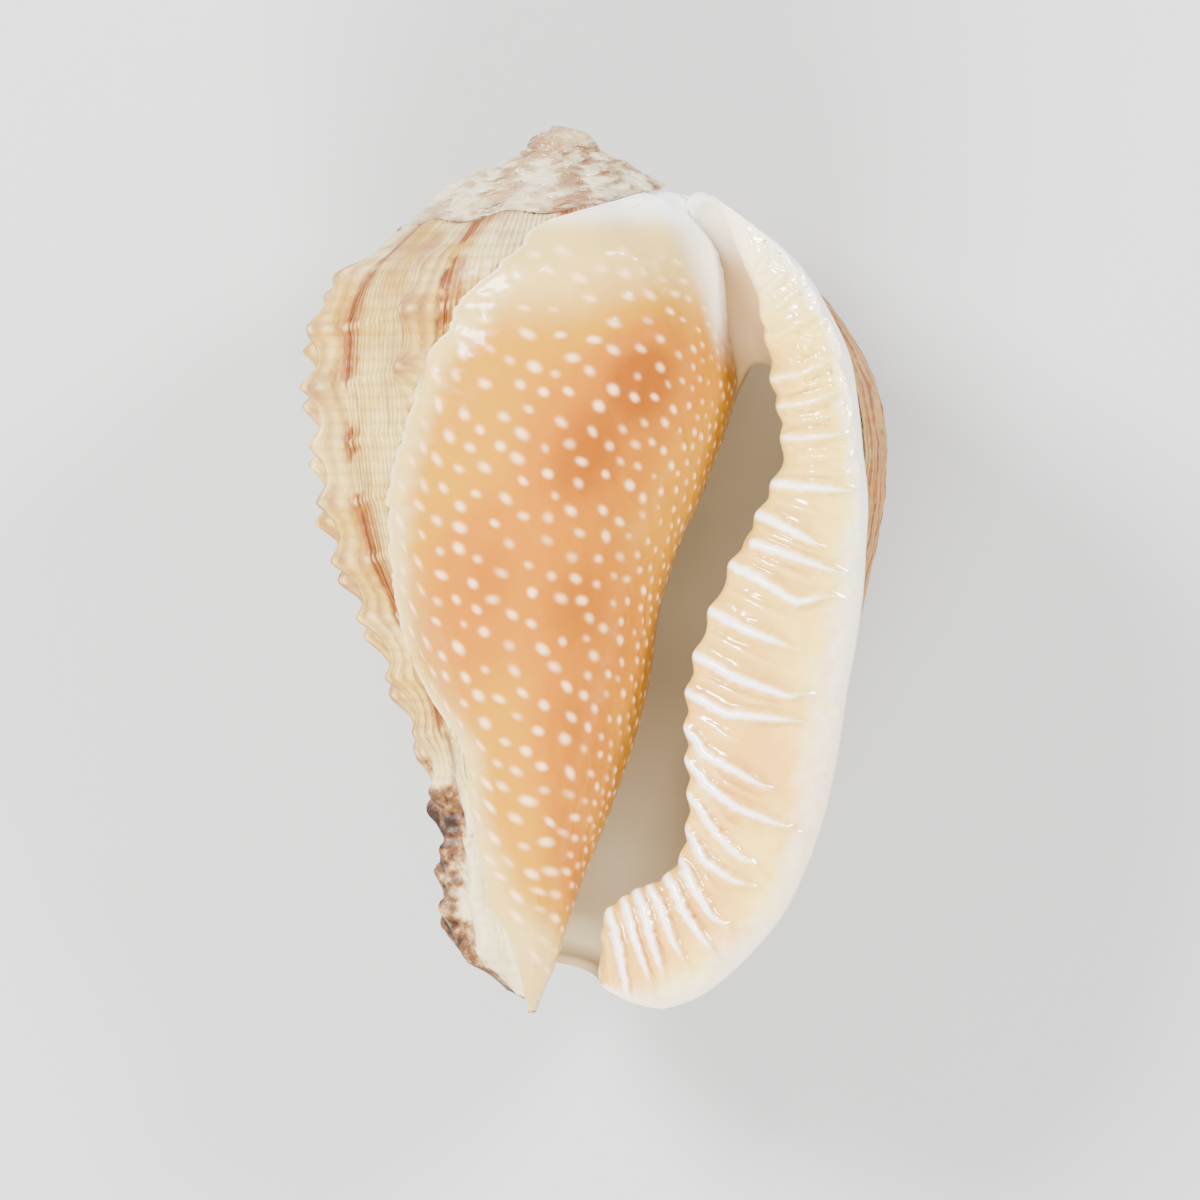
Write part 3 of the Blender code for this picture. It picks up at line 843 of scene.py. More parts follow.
@dataclass
class InnerWhorls:
    """The spire with the columella and the earlier whorls under it, one closed body."""

    form: ShellForm
    sculpture: Sculpture
    columns: int = 310
    rings: int = 300
    node_height: float = 0.12
    lumps: float = 0.048
    small_lumps: float = 0.45
    threads: float = 0.01
    sunk: float = 0.4
    even_rings: float = 0.45
    apex_lumps: float = 0.09
    least_radius: float = 0.05

    def relief(self, angle: Array, whorl: int, shoulder: Array, share: Array, peak: Array) -> Array:
        """Return the height of nodes, lumps and threads on a whorl of the spire.

        Args:
            angle: degrees about the coiling axis.
            whorl: which turn it is.
            shoulder: the shoulder's radius there.
            share: how far down the whorl each place is, from 0 to 1.
            peak: the share at which the nodes stand.

        Returns:
            The height at each place.
        """
        total = angle + 360.0 * whorl
        node = self.sculpture.node(total + 4.0 * wander(8, share, total / 90.0, octaves=1))
        node = node * (0.3 + 0.7 * bump(share - peak, 0.3))
        lumps = wander(5, total / 45.0, share * 1.6)
        lumps = lumps + self.small_lumps * wander(6, total / 11.0, share * 5.0, octaves=2)
        threads = self.threads * np.cos(2 * math.pi * share * 5.0)
        height = shoulder * (self.node_height * node + self.lumps * lumps + threads)
        if whorl == 0:
            hidden = ease(68.0, 88.0, angle)
            height = height * (1 - hidden) - self.sunk * hidden * ease(0.0, 0.04, share)
        return height

    def build(self, materials: Materials) -> None:
        """Model the body and dress it.

        Args:
            materials: every finish's material.
        """
        form = self.form
        made, angle, share = unit_sphere(self.columns, self.rings)
        down = self.even_rings * share + (1 - self.even_rings) * share**3
        y = form.apex_y + (form.tip_y - form.apex_y) * down
        spire = form.spire_radius(angle, y, self.relief)
        plain = form.spire_radius(angle, y)
        under = form.shield_radius(angle, y, 0.0) - self.sunk
        whorl = form.whorl_radius(np.maximum(angle, 60.0), y) - form.wall
        under = under + (whorl - under) * ease(60.0, 110.0, angle)
        low = ease(19.5, 17.5, y)
        glazed = ease(22.7, 22.2, y) * ease(-1.0, 4.0, form.edge_angle(y) - angle)
        glazed = glazed * ease(-12.0, 6.0, angle - form.glaze_end(y))
        covered = np.maximum(low, glazed)
        radius = spire + (np.minimum(spire, under) - spire) * covered
        near_apex = ease(4.5, 0.5, form.apex_y - y)
        lumpy = 1 + self.apex_lumps * near_apex * wander(41, angle / 75.0, y / 0.9)
        radius = np.maximum(radius, self.least_radius) * lumpy
        radius = np.where((share <= 0.0) | (share >= 1.0), 0.0, radius)
        points = form.place(angle, y, radius)
        aside, behind = points[:, 0] - form.apex_x, points[:, 2] - form.axis_z
        knob = bump(np.hypot(aside + 0.4, behind - 0.4), 0.6)
        lumps = wander(43, aside / 1.7, behind / 1.7, octaves=2)
        points[:, 1] += ease(1.6, 0.4, form.apex_y - y) * (0.3 * knob + 0.12 * lumps - 0.15)
        drop = np.maximum(form.apex_y - y, 0.0)
        seam = np.zeros_like(drop)
        for number in range(-2, 2):
            depth = form.coil(angle, number)[1]
            faded = min(1.0, 0.3 * number + 1.0)
            seam = np.maximum(seam, bump(drop - depth, 0.05 + 0.04 * depth) * faded)
        stored = {
            "suture": seam,
            "raised": (spire - plain) / (0.07 * np.maximum(plain, 1.5)) - 0.3,
            "apex": np.clip(1.3 * knob * ease(1.0, 0.4, drop), 0, 1),
            "across": aside,
            "behind": behind,
            "level": y,
        }
        complete(made, "inner_whorls", points, stored, materials[Finish.SPIRE])


@dataclass
class LastWhorl:
    """The ribbed wall of the last whorl, from its suture to the siphonal canal, smooth inside."""

    form: ShellForm
    sculpture: Sculpture
    columns: int = 226
    rings: int = 400
    outer_share: float = 0.8
    worn_width: float = 0.3
    fold_height: float = 0.09
    wrinkle_height: float = 0.06
    low_lumps: float = 0.3
    bead_step: float = 0.75
    drawn_in: float = 1.1
    tuck_depth: float = 0.6
    corner_thinning: float = 0.65
    growth_radius: float = 13.0
    bands: Row = (11.5, 2.0, -8.0)
    band_width: float = 1.6
    cap_rings: int = 6

    def low_left(self, angle: Array, y: Array) -> Array:
        """Return 1 on the smooth stained part beside the siphonal canal."""
        return ease(-9.0, -15.0, y) * ease(245.0, 205.0, angle)

    def heights(self, angle: Array, y: Array, radius: Array) -> dict[str, Array]:
        """Return the ribs' flanks, the cords, the knobs and the height of all relief at each place.

        Args:
            angle: degrees about the coiling axis.
            y: the level along the shell.
            radius: the radius without sculpture.

        Returns:
            The four fields by name.
        """
        s, form = self.sculpture, self.form
        lean = 1.5 * wander(11, y / 24.0, angle / 200.0, octaves=2)
        off = s.rib_distance(angle + lean, radius)
        rib = s.rib(off)
        flank = bump(off + 1.15, 0.55) + 0.6 * bump(off + 2.1, 0.4)
        d = s.cord_distance(angle, y)
        cord, knob = bump(d, s.cord_width), bump(d, s.knob_width)
        below = ease(form.shoulder_drop - 2.5, form.shoulder_drop - 0.5, form.apex_y - y)
        size = np.minimum(1.0, radius / 8.0) * ease(-25.2, -22.5, y)
        fade = ease(352.0, 322.0, angle)
        varied = 1 + 0.3 * wander(3, angle / 50.0, y / 4.0, octaves=2)
        height = rib * (s.rib_height * (0.5 + 0.5 * below) + s.knob_height * knob * below * varied)
        round_the_whorl = np.radians(angle) * self.growth_radius
        beads = 0.75 + 0.25 * np.cos(2 * math.pi * round_the_whorl / self.bead_step)
        height = fade * height + (0.35 + 0.65 * fade) * s.cord_height * cord * below * beads
        folds = self.fold_height * wander(7, angle / 9.0, y / 40.0, octaves=3)
        folds = folds + self.wrinkle_height * wander(9, angle / 12.0, y / 3.0)
        folds = folds * (1 - 0.85 * self.low_left(angle, y)) * ease(-25.4, -23.5, y)
        rough = self.low_lumps * ease(-8.0, -18.0, y) * wander(13, angle / 25.0, y / 3.5)
        return {
            "flank": np.clip(flank, 0, 1) * fade,
            "cord": cord * below,
            "knob": knob * rib * below * fade,
            "height": size * (height + rough) + folds,
        }

    def build(self, materials: Materials) -> None:
        """Model the wall as one closed sheet and dress it.

        Args:
            materials: every finish's material.
        """
        form = self.form
        made, turn, share = unit_sphere(self.columns, self.rings)
        t = (turn + 180.0) / 360.0
        cap = self.cap_rings / self.rings
        turned = np.clip((share - cap) / (1 - 2 * cap), 0.0, 1.0)
        closing = np.clip(np.minimum(share, 1 - share) / cap, 0.0, 1.0)
        angle = form.wall_starts + (form.lip_ends - form.wall_starts) * turned
        inward = np.clip((t - self.outer_share) / (1 - self.outer_share), 0.0, 1.0)
        along = np.where(inward > 0, 1 - inward, np.clip(t / self.outer_share, 0.0, 1.0))
        along = 0.5 + (along - 0.5) * closing
        top = form.apex_y - form.coil(angle, 0)[1] + 0.1
        y = top + (through(form.bottom_angles, form.bottom, angle) - top) * along
        smooth = form.whorl_radius(angle, y)
        smooth = smooth - self.drawn_in * ease(335.0, 368.0, angle) * ease(16.5, 20.0, y)
        edge_x = through(form.shield_levels, form.shield_edge, y)
        x = form.axis_x(y) + smooth * np.cos(np.radians(angle))
        cover = np.where(angle < 180.0, ease(-0.1, 0.6, x - edge_x), 0.0)
        tuck = 0.25 * ease(0.01, 0.0, along)
        sunk = self.tuck_depth * tuck
        parts = self.heights(angle, y, smooth)
        bare = (1 - cover) * (1 - tuck) * (1 - ease(0.955, 0.985, along))
        outer = smooth + parts["height"] * bare - sunk
        corner = ease(352.0, 366.0, angle) * ease(13.5, 16.0, y)
        thickness = form.wall * (1 - self.corner_thinning * corner) * ease(0.0, 0.07, inward)
        inner = smooth - thickness - sunk
        points = form.place(angle, y, np.where(inward > 0, inner, outer))
        points[:, 2] = -soft_least(-points[:, 2], 0 * y, self.worn_width)
        low_left = self.low_left(angle, y)
        edge_share = ease(118.0, 172.0, angle) - 0.08 * ease(-15.0, -20.0, y)
        fall = self.sculpture.cord_fall * (angle - 180.0) / 360.0
        band = sum(bump(y + fall - level, self.band_width) for level in self.bands)
        stored = {name: parts[name] * (1 - cover) for name in ("flank", "cord", "knob")}
        stored |= {
            "growth": np.radians(angle - 180.0) * self.growth_radius,
            "level": y,
            "band": np.clip(band, 0, 1) * ease(190.0, 215.0, angle),
            "varix": ease(335.0, 350.0, angle),
            "crown": ease(5.5, 0.5, top - y) * ease(330.0, 300.0, angle),
            "stain": low_left,
            "speckled": low_left * np.clip(edge_share, 0, 1),
            # canal: where painted shade darkens the interior, in the groove beside the lip's top and
            # along the rim at the siphonal notch
            "canal": np.maximum(corner, 0.8 * ease(0.955, 0.99, along)),
            "rim": 0.75 * corner * ease(17.0, 22.0, y),
        }
        complete(made, "last_whorl", points, stored, materials[Finish.OUTSIDE], materials[Finish.INSIDE])
        inside = (inward > 0.0) | ((t > 0.985 * self.outer_share) & (angle > 215.0))
        inside = inside | (angle > form.lip_ends - 0.5 - 6.0 * ease(0.14, 0.0, along))
        line_faces(made, inside)


@dataclass
class ParietalShield:
    """The glazed shield over the front and the columella, with its pustules."""

    form: ShellForm
    columns: int = 300
    rings: int = 328
    on_arc: float = 0.94
    top: float = 22.75
    rim_height: float = 0.12
    edge_fall: float = 0.55
    swell: float = 0.045
    top_fall: float = 1.4
    tip_rounding: float = 1.4
    pustule_radius: float = 0.31
    pustule_height: float = 0.09
    pustule_reach: float = 1.6
    pustule_spacing: float = 1.22
    pustule_levels: Row = (-23.6, 18.6)
    pustule_angles: Row = (-60.0, 150.0)
    bare_edge: float = 1.2
    tries: int = 30000
    seed: int = 21
    hearts: tuple[Row, ...] = (
        (2.2, 11.0, 2.8, 4.4, 20.0, 1.0),
        (-0.6, 7.0, 3.4, 6.0, 25.0, 0.85),
        (-6.4, -0.6, 3.2, 5.2, 10.0, 0.62),
        (-1.6, -2.0, 3.6, 5.6, 0.0, 0.7),
        (-1.8, -9.0, 2.4, 5.0, -5.0, 0.6),
        (-1.9, -16.0, 1.3, 4.6, -12.0, 0.42),
    )

    def surface(self, angle: Array, y: Array, edge: Array) -> tuple[Array, Array]:
        """Return the shield's radius, and the distance from its edge in millimetres.

        Args:
            angle: degrees about the coiling axis.
            y: the level along the shell.
            edge: the angle of its left edge at each level.

        Returns:
            The radius and the distance at each place.
        """
        around = self.form.whorl_radius(np.maximum(angle, 60.0), y)
        distance = np.radians(np.maximum(edge - angle, 0.0)) * np.maximum(around, 1.0)
        thickness = self.form.shield_thickness * (0.4 + 0.6 * ease(0.0, 4.0, distance))
        thickness = thickness + self.rim_height * bump(distance - 0.3, 0.2)
        thickness = thickness - self.edge_fall * ease(0.25, 0.0, distance)
        thickness = thickness + self.swell * wander(17, y / 5.0, angle / 22.0)
        thickness = thickness - self.top_fall * ease(21.9, self.top, y)
        rounding = np.clip((self.form.tip_y + self.tip_rounding - y) / self.tip_rounding, 0.0, 1.0)
        return self.form.shield_radius(angle, y, thickness) * np.sqrt(1 - rounding**2), distance

    def pustules(self) -> dict[str, Array]:
        """Scatter the pustules, and return where each one is, its half sizes, lean and strength.

        Returns:
            One array per quality, with a number for each pustule.
        """
        form, rng = self.form, np.random.default_rng(self.seed)
        y = rng.uniform(*self.pustule_levels, self.tries)
        angle = rng.uniform(*self.pustule_angles, self.tries)
        edge = form.edge_angle(y)
        radius, distance = self.surface(angle, y, edge)
        keep = (angle < edge) & (distance > self.bare_edge)
        y, angle, radius, distance = (a[keep] for a in (y, angle, radius, distance))
        at = form.place(angle, y, radius)
        right = ease(82.0, 35.0, angle)
        high, low = ease(11.0, 15.0, y), ease(-9.0, -16.0, y)
        left = ease(4.2, 2.2, distance) * (1 - high)
        spacing = self.pustule_spacing - 0.42 * right - 0.1 * low + 0.1 * high
        chosen: list[int] = []
        picked, gaps = np.empty((0, 3)), np.empty(0)
        for i in range(len(y)):
            apart = np.linalg.norm(picked - at[i], axis=1)
            if (apart < np.maximum(gaps, spacing[i])).any():
                continue
            chosen.append(i)
            picked = np.vstack([picked, at[i]])
            gaps = np.append(gaps, spacing[i])
        n = np.array(chosen)
        size = self.pustule_radius * (1 - 0.36 * right[n]) * rng.uniform(0.82, 1.15, len(n))
        stretch = 1.2 + rng.uniform(0.0, 0.5, len(n)) + rng.uniform(0.3, 1.2, len(n)) * left[n]
        stretch = stretch + 0.7 * high[n] + 0.45 * low[n]
        lean = -35.0 - 27.0 * left[n] + 20.0 * np.maximum(high[n], low[n]) + rng.normal(0, 9.0, len(n))
        log.info("pustules: %d", len(n))
        return {
            "angle": angle[n],
            "y": y[n],
            "radius": radius[n],
            "long": size * stretch**0.6,
            "short": size / stretch**0.4,
            "lean": np.radians(lean),
            "strength": rng.uniform(0.55, 1.0, len(n)),
        }

    def marks(self, angle: Array, y: Array) -> Array:
        """Return how far each place belongs to a pustule, 1 at its middle.

        Args:
            angle: degrees about the coiling axis.
            y: the level along the shell.

        Returns:
            The share at each place.
        """
        p = self.pustules()
        mark = np.zeros(len(y))
        for a, level, radius, long, short, lean, strength in zip(*p.values()):
            near = np.nonzero(np.abs(y - level) < self.pustule_reach)[0]
            across = -np.radians(angle[near] - a) * radius
            up = y[near] - level
            u = (across * math.cos(lean) + up * math.sin(lean)) / long
            v = (up * math.cos(lean) - across * math.sin(lean)) / short
            mark[near] = np.maximum(mark[near], strength * np.exp(-0.75 * (u * u + v * v)))
        return mark

    def build(self, materials: Materials) -> None:
        """Model the shield and dress it.

        Args:
            materials: every finish's material.
        """
        form = self.form
        made, turn, share = unit_sphere(self.columns, self.rings)
        u = (turn + 180.0) / 360.0
        y = self.top + (form.tip_y - self.top) * share
        edge = form.edge_angle(y) + 1.8 * wander(2, y / 9.0) + 0.7 * wander(4, y / 1.8, octaves=2)
        end = form.glaze_end(y)
        angle = edge + (end - edge) * np.clip(u / self.on_arc, 0.0, 1.0)
        radius, distance = self.surface(angle, y, edge)
        back = np.clip((u - self.on_arc) / (1 - self.on_arc), 0.0, 1.0)
        angle = np.where(back > 0, end + (edge - end) * back, angle)
        sunk = 1 - 0.85 * np.sqrt(np.sin(math.pi * back).clip(0, 1))
        radius = np.where(back > 0, radius * sunk, radius)
        mark = np.where(back > 0, 0.0, self.marks(angle, y))
        points = form.place(angle, y, radius + self.pustule_height * mark)
        x = points[:, 0]
        heart = np.zeros(len(x))
        for cx, cy, rx, ry, tilt, strength in self.hearts:
            c, s = math.cos(math.radians(tilt)), math.sin(math.radians(tilt))
            dx, dy = x - cx, y - cy
            across, along = (dx * c - dy * s) / rx, (dx * s + dy * c) / ry
            heart = np.maximum(heart, strength * np.exp(-(across**2) - along**2))
        inland = ease(0.2, 3.6, distance) * ease(20.5, 11.5, y) * ease(-25.5, -18.0, y)
        reach = 1.5 + 1.9 * ease(13.0, 19.5, y)
        # fold: the white columellar fold, whose whiteness is partly its own colour and partly a painted
        # highlight
        fold = ease(reach, 0.2, form.axis_x(y) + through(form.inner_levels, form.columella, y) - x)
        white = fold * ease(11.5, 15.5, y) + 0.8 * ease(19.5, 22.0, y)
        white = np.clip(white + 0.3 * ease(0.7, 0.1, distance) * ease(-20.0, -14.0, y), 0, 1)
        stored = {
            "warmth": inland * (0.4 + 0.72 * heart),
            "whiteness": white,
            "pustule": mark * (1 - ease(0.35, 0.8, white)),
        }
        complete(made, "parietal_shield", points, stored, materials[Finish.SHIELD])


@dataclass
class OuterLip:
    """The thick rim round the aperture, with the ridges that cross it and end as teeth."""

    form: ShellForm
    stations: tuple[Row, ...] = (
        (6.3, 21.7, 6.5, 22.2, 4.4),
        (7.5, 19.9, 9.2, 20.1, 5.2),
        (8.3, 18.0, 11.6, 17.9, 5.9),
        (9.2, 15.9, 13.2, 15.4, 6.4),
        (9.8, 13.4, 14.5, 12.6, 6.8),
        (10.2, 11.0, 15.0, 9.9, 7.0),
        (10.7, 8.4, 15.3, 7.0, 7.2),
        (10.6, 6.0, 15.6, 4.2, 7.2),
        (9.4, 3.3, 15.5, 1.5, 7.2),
        (7.8, 0.3, 15.3, -1.5, 7.1),
        (6.6, -2.4, 14.9, -4.4, 7.0),
        (5.7, -5.0, 14.4, -7.1, 6.8),
        (5.2, -7.6, 14.0, -9.9, 6.6),
        (5.2, -10.6, 13.5, -12.6, 6.3),
        (5.3, -13.5, 12.9, -15.0, 5.9),
        (5.0, -16.5, 12.0, -17.5, 5.4),
        (3.9, -18.1, 10.6, -20.3, 4.9),
        (2.3, -18.9, 8.4, -22.9, 4.2),
        (0.9, -19.8, 5.8, -25.0, 3.6),
        (0.0, -20.9, 2.9, -25.9, 3.0),
        (-0.7, -22.2, 0.5, -26.0, 2.4),
    )
    half_thickness: float = 1.9
    slope: float = 1.6
    ridges: tuple[tuple[float, tuple[tuple[float, float], ...]], ...] = (
        (0.45, ((8.9, 17.2), (10.0, 18.6))),
        (0.5, ((9.2, 16.0), (10.6, 17.2))),
        (0.6, ((9.5, 14.8), (11.6, 16.4))),
        (0.7, ((9.8, 13.4), (12.4, 14.8), (12.9, 15.3))),
        (1.0, ((10.2, 11.0), (11.8, 11.5), (13.8, 12.4))),
        (1.0, ((10.7, 9.4), (12.2, 9.8), (13.8, 10.4))),
        (1.0, ((10.5, 7.6), (14.1, 7.9))),
        (0.5, ((11.6, 6.6), (14.4, 6.6))),
        (1.0, ((10.3, 5.0), (14.4, 4.6))),
        (1.0, ((9.4, 3.2), (12.7, 1.4))),
        (0.9, ((9.2, 1.5), (13.9, -0.2))),
        (1.0, ((7.8, 0.3), (11.4, -1.9), (13.3, -1.5))),
        (1.0, ((6.6, -2.4), (8.2, -3.4), (11.0, -4.5))),
        (1.0, ((5.7, -5.0), (7.6, -6.2), (10.9, -7.4), (11.9, -7.2))),
        (1.0, ((5.2, -7.2), (7.2, -8.4), (11.4, -8.8))),
        (1.0, ((5.1, -9.3), (6.1, -10.8), (9.9, -12.9))),
        (1.0, ((5.2, -11.2), (6.4, -12.8), (7.9, -13.9), (11.0, -15.1))),
        (0.9, ((5.2, -13.1), (6.7, -15.4), (7.9, -16.6), (9.1, -17.4))),
        (0.9, ((5.1, -15.1), (6.0, -17.0), (7.6, -18.1), (8.9, -18.5))),
        (1.0, ((4.7, -16.6), (5.3, -18.4), (6.4, -20.2), (7.4, -20.9))),
        (1.0, ((4.1, -17.9), (4.7, -19.8), (5.8, -21.4), (6.6, -22.4))),
        (0.9, ((3.1, -18.6), (3.6, -20.2), (4.2, -21.8), (4.9, -22.9))),
        (1.0, ((2.3, -18.9), (2.8, -21.2), (3.6, -23.7))),
        (0.9, ((1.5, -19.4), (1.9, -21.5), (2.9, -24.2))),
        (1.0, ((0.6, -20.2), (1.1, -22.6), (1.6, -25.3))),
        (0.9, ((-0.1, -21.7), (-0.6, -22.4), (-0.3, -24.0), (-0.2, -25.2))),
    )
    ridge_height: float = 0.6
    ridge_width: float = 0.33
    fading_share: float = 0.3
    faint: float = 0.4
    far_apart: float = 1.5
    toothed: float = 0.55
    tooth_width: float = 0.75
    tooth_reach: float = 0.48
    hem_height: float = 0.3
    columns: int = 92
    rings: int = 960

    def ridge_lines(self) -> list[tuple[float, Array]]:
        """Return the ridges as size and points, with faint short ones between those far apart.

        Returns:
            Each ridge's size and its points in X and Y.
        """
        lines = []
        for size, points in self.ridges:
            path = np.array(points)
            lines.append((size, np.vstack([path, path[-1] + self.fading_share * (path[-1] - path[0])])))
        extra = []
        for (_, a), (_, b) in zip(lines[4:], lines[5:]):
            if np.linalg.norm(a[0] - b[0]) < self.far_apart:
                continue
            middle = np.zeros((3, 2))
            for path in (a, b):
                places = np.linspace(0, 1, len(path))
                along = [np.interp((0.0, 0.4, 0.7), places, row) for row in path.T]
                middle += 0.5 * np.stack(along, axis=1)
            extra.append((self.faint, middle))
        return lines + extra

    def relief(self, x: Array, y: Array) -> tuple[Array, Array]:
        """Return the height of the ridges, and of the teeth that they end in, at each place.

        Args:
            x: across the shell.
            y: along the shell.

        Returns:
            The ridges' and the teeth's height.
        """
        height, tooth = np.zeros(len(x)), np.zeros(len(x))
        for size, points in self.ridge_lines():
            reach = np.sum(np.linalg.norm(np.diff(points, axis=0), axis=1))
            low, high = points.min(0) - 2.0, points.max(0) + 2.0
            near = np.nonzero((x > low[0]) & (x < high[0]) & (y > low[1]) & (y < high[1]))[0]
            best, share, gone = np.full(len(near), 9.0), np.zeros(len(near)), 0.0
            for start, end in zip(points, points[1:]):
                step = end - start
                span = np.linalg.norm(step)
                dx, dy = x[near] - start[0], y[near] - start[1]
                s = np.clip((dx * step[0] + dy * step[1]) / span**2, 0, 1)
                away = np.hypot(dx - s * step[0], dy - s * step[1])
                closer = away < best
                best = np.where(closer, away, best)
                share = np.where(closer, (gone + s * span) / reach, share)
                gone += span
            width = self.ridge_width * (1.25 - 0.65 * share) * (0.6 + 0.4 * size)
            waved = 1 + 0.28 * wander(35, x[near] / 1.1, y[near] / 1.1, octaves=2)
            line = bump(best, width * waved) * size * ease(1.0, 0.5, share)
            height[near] = np.maximum(height[near], line)
            if size > self.toothed:
                away = np.hypot(x[near] - points[0][0], y[near] - points[0][1])
                tooth[near] = np.maximum(tooth[near], size * bump(away, self.tooth_width))
        return height, tooth

    def build(self, materials: Materials) -> None:
        """Model the lip and dress it.

        Args:
            materials: every finish's material.
        """
        made, turn, share = unit_sphere(self.columns, self.rings)
        count = np.arange(len(self.stations))
        at = share * count[-1]
        rows = zip(*self.stations)
        inner_x, inner_y, outer_x, outer_y, height = (through(count, row, at) for row in rows)
        across, over = np.cos(np.radians(turn)), np.sin(np.radians(turn))
        end = np.sqrt(np.clip(np.minimum(share, 1 - share) * 16.0, 0.0, 1.0))
        half = np.hypot(outer_x - inner_x, outer_y - inner_y) / 2
        thick = np.minimum(self.half_thickness, 0.7 + 0.5 * half) * end
        dx, dy = (outer_x - inner_x) / (2 * half), (outer_y - inner_y) / (2 * half)
        x = (inner_x + outer_x) / 2 + dx * across * half * end
        y = (inner_y + outer_y) / 2 + dy * across * half * end
        ridge, tooth = self.relief(x, y)
        facing = np.clip(over + 0.45, 0.0, 1.0) ** 0.6
        pushed = self.tooth_reach * tooth * ease(0.2, -0.9, across) * (0.35 + 0.65 * facing) * end
        rough = 0.05 + 0.09 * ease(6.0, 11.0, y)
        swell = rough * wander(31, x / 1.5, y / 1.5, octaves=2) + 0.22 * bump(across + 0.45, 0.4)
        hem = bump(across - 0.78 + 0.12 * wander(37, x / 2.2, y / 2.2, octaves=2), 0.13)
        swell = swell + self.hem_height * hem * ease(6.0, 11.0, y)
        lift = (self.ridge_height * ridge + swell) * facing * end
        z = self.form.axis_z + height + self.slope / 2 * across + thick * over + lift
        points = np.stack([x - dx * pushed, y - dy * pushed, z], axis=1)
        rim = ease(0.35, 0.9, across + 0.12 * wander(33, x / 2.5, y / 2.5, octaves=2))
        stored = {
            "ridge": ridge * facing * (0.55 + 0.45 * ease(10.0, 3.0, y)),
            "hollow": ease(0.6, -0.4, across) * (1 - ridge) * ease(18.0, 8.0, y),
            "rim": np.clip(rim + 0.6 * ease(13.0, 20.0, y), 0, 1),
            "lower": ease(8.0, -12.0, y),
        }
        complete(made, "outer_lip", points, stored, materials[Finish.LIP])


@dataclass
class CanalFloor:
    """The groove of the posterior canal between the shield and the lip, open toward the aperture."""

    form: ShellForm
    levels: Row = (23.0, 22.2, 20.5, 18.2, 15.9, 13.5, 11.0)
    middle: Row = (5.4, 5.9, 7.0, 7.9, 8.3, 8.6, 9.0)
    floor: Row = (3.2, 4.0, 4.4, 4.45, 4.15, 3.4, 2.2)
    rise: Row = (0.6, 0.9, 1.7, 2.1, 2.2, 2.0, 1.4)
    centre_y: float = 17.2
    half_length: float = 5.0
    half_width: float = 2.7
    half_thickness: float = 1.6
    left_curve: float = 0.12
    right_curve: float = 0.5
    squareness: float = 0.4
    arch: float = 0.9
    arch_middle: float = 0.5
    arch_height: float = 3.0
    narrowing: float = 0.5
    columns: int = 128
    rings: int = 96

    def build(self, materials: Materials) -> None:
        """Model the floor as a closed pad whose upper side is hollow, and dress it.

        Args:
            materials: every finish's material.
        """
        made, angle, share = unit_sphere(self.columns, self.rings)
        a, b = np.radians(angle), share * math.pi
        power = 1.0 + (self.squareness - 1.0) * ease(0.3, 0.75, share)
        wide = np.sin(b).clip(0.0, 1.0) ** power
        off, over = self.half_width * np.cos(a) * wide, np.sin(a) * wide
        y = self.centre_y + self.half_length * np.cos(b)
        off = off * np.where(off > 0, 1 - self.narrowing * ease(16.0, 20.0, y), 1.0)
        arch = np.minimum(self.arch * (off - self.arch_middle) ** 2, self.arch_height)
        y = y - arch * ease(17.0, 13.0, y)
        rows = (self.middle, self.floor, self.rise)
        middle, floor, rise = (through(self.levels, row, y) for row in rows)
        curve = np.where(off < 0, self.left_curve, self.right_curve)
        z = self.form.axis_z + floor + np.minimum(curve * off**2, rise)
        z = z + self.half_thickness * (over - 1.0)
        points = np.stack([middle + off, y, z], axis=1)
        # canal covers the whole floor with the painted shade of the groove's depth.
        stored = {"canal": np.ones(len(y)), "rim": 0.75 * ease(17.0, 22.0, y)}
        complete(made, "canal_floor", points, stored, materials[Finish.INSIDE])


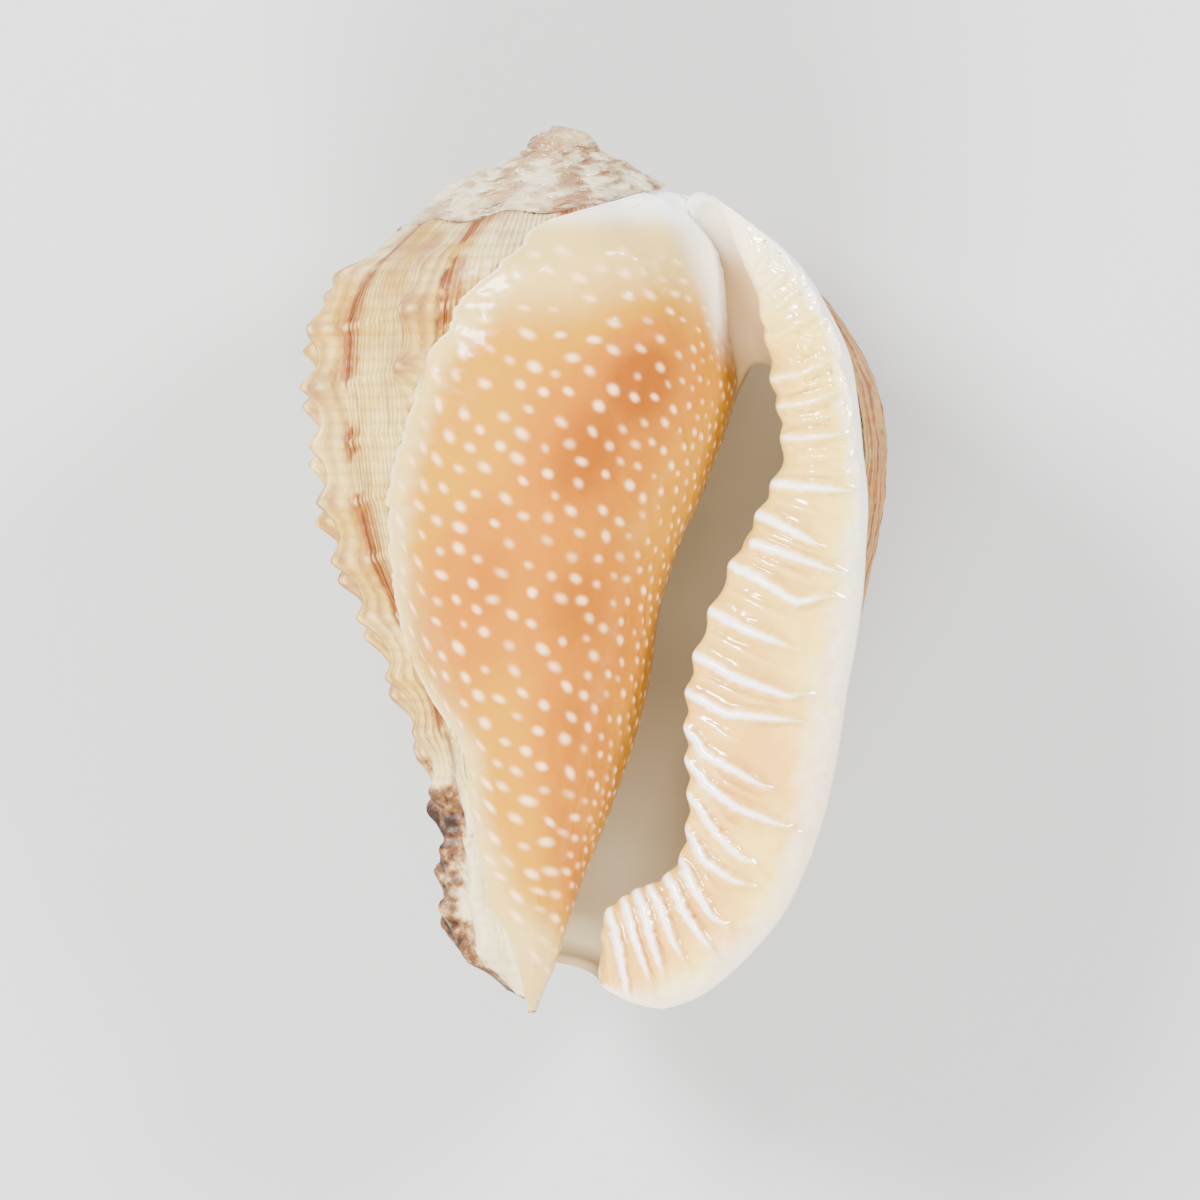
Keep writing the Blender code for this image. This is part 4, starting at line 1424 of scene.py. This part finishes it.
@dataclass
class Studio:
    """A pale floor, soft lights, and a camera that looks straight down as the photo does."""

    pixels: int = 1200
    pixels_per_mm: float = 17.0
    middle_x: float = -0.06
    middle_y: float = -1.76
    middle_z: float = 15.0
    distance: float = 900.0
    floor_size: float = 3000.0
    floor_colour: Colour = (0.40, 0.40, 0.395)

    def floor(self) -> None:
        """Lay the floor."""
        deselect_all()
        bpy.ops.mesh.primitive_plane_add(size=self.floor_size * MM)
        plane = bpy.context.active_object
        plane.name = "floor"
        r = Recipe("pale_floor", self.floor_colour)
        r.lay(r.noise(40.0, 2.0), tuple(0.97 * c for c in self.floor_colour))
        plane.data.materials.append(r.finish({"Roughness": 0.8}))

    def lamp(self, name: str, place: Place, size: float, power: float, mirrored: bool = True) -> None:
        """Hang a soft square light that faces the shell.

        Args:
            name: the lamp's name.
            place: where it hangs, in millimetres.
            size: the length of its side in millimetres.
            power: its power in watts.
            mirrored: whether glossy surfaces show it.
        """
        data = bpy.data.lights.new(name, "AREA")
        data.shape, data.size, data.energy = "SQUARE", size * MM, power
        lamp = bpy.data.objects.new(name, data)
        bpy.context.scene.collection.objects.link(lamp)
        lamp.visible_glossy = mirrored
        at = np.array(place) * MM
        lamp.location = at
        reach = at - np.array([0.0, 0.0, 0.014])
        yaw = math.atan2(reach[0], -reach[1])
        lamp.rotation_euler = (math.atan2(math.hypot(reach[0], reach[1]), reach[2]), 0.0, yaw)

    def build(self) -> None:
        """Set up floor, lights, surroundings and camera."""
        self.floor()
        self.lamp("key", (-340, 240, 330), 170, 11.0)
        self.lamp("window", (300, 200, 260), 110, 4.2)
        self.lamp("fill", (-60, -460, 330), 340, 13.0, mirrored=False)
        world = bpy.data.worlds.new("soft_room")
        world.use_nodes = True
        background = world.node_tree.nodes["Background"]
        background.inputs["Color"].default_value = (1.0, 1.0, 1.0, 1.0)
        background.inputs["Strength"].default_value = 0.5
        bpy.context.scene.world = world
        data = bpy.data.cameras.new("camera")
        data.sensor_width = 36.0
        data.lens = data.sensor_width * self.distance * self.pixels_per_mm / self.pixels
        data.clip_start, data.clip_end = 0.01, 10.0
        camera = bpy.data.objects.new("camera", data)
        bpy.context.scene.collection.objects.link(camera)
        camera.location = (self.middle_x * MM, self.middle_y * MM, (self.middle_z + self.distance) * MM)
        bpy.context.scene.camera = camera


def main() -> None:
    """Build the shell's regions and the studio."""
    logging.basicConfig(level=logging.INFO, format="%(name)s: %(message)s")
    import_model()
    deselect_all()
    form, sculpture = ShellForm(), Sculpture()
    materials = {finish: finish.value.make() for finish in Finish}
    InnerWhorls(form, sculpture).build(materials)
    LastWhorl(form, sculpture).build(materials)
    ParietalShield(form).build(materials)
    OuterLip(form).build(materials)
    CanalFloor(form).build(materials)
    Studio().build()


if __name__ == "__main__":
    main()
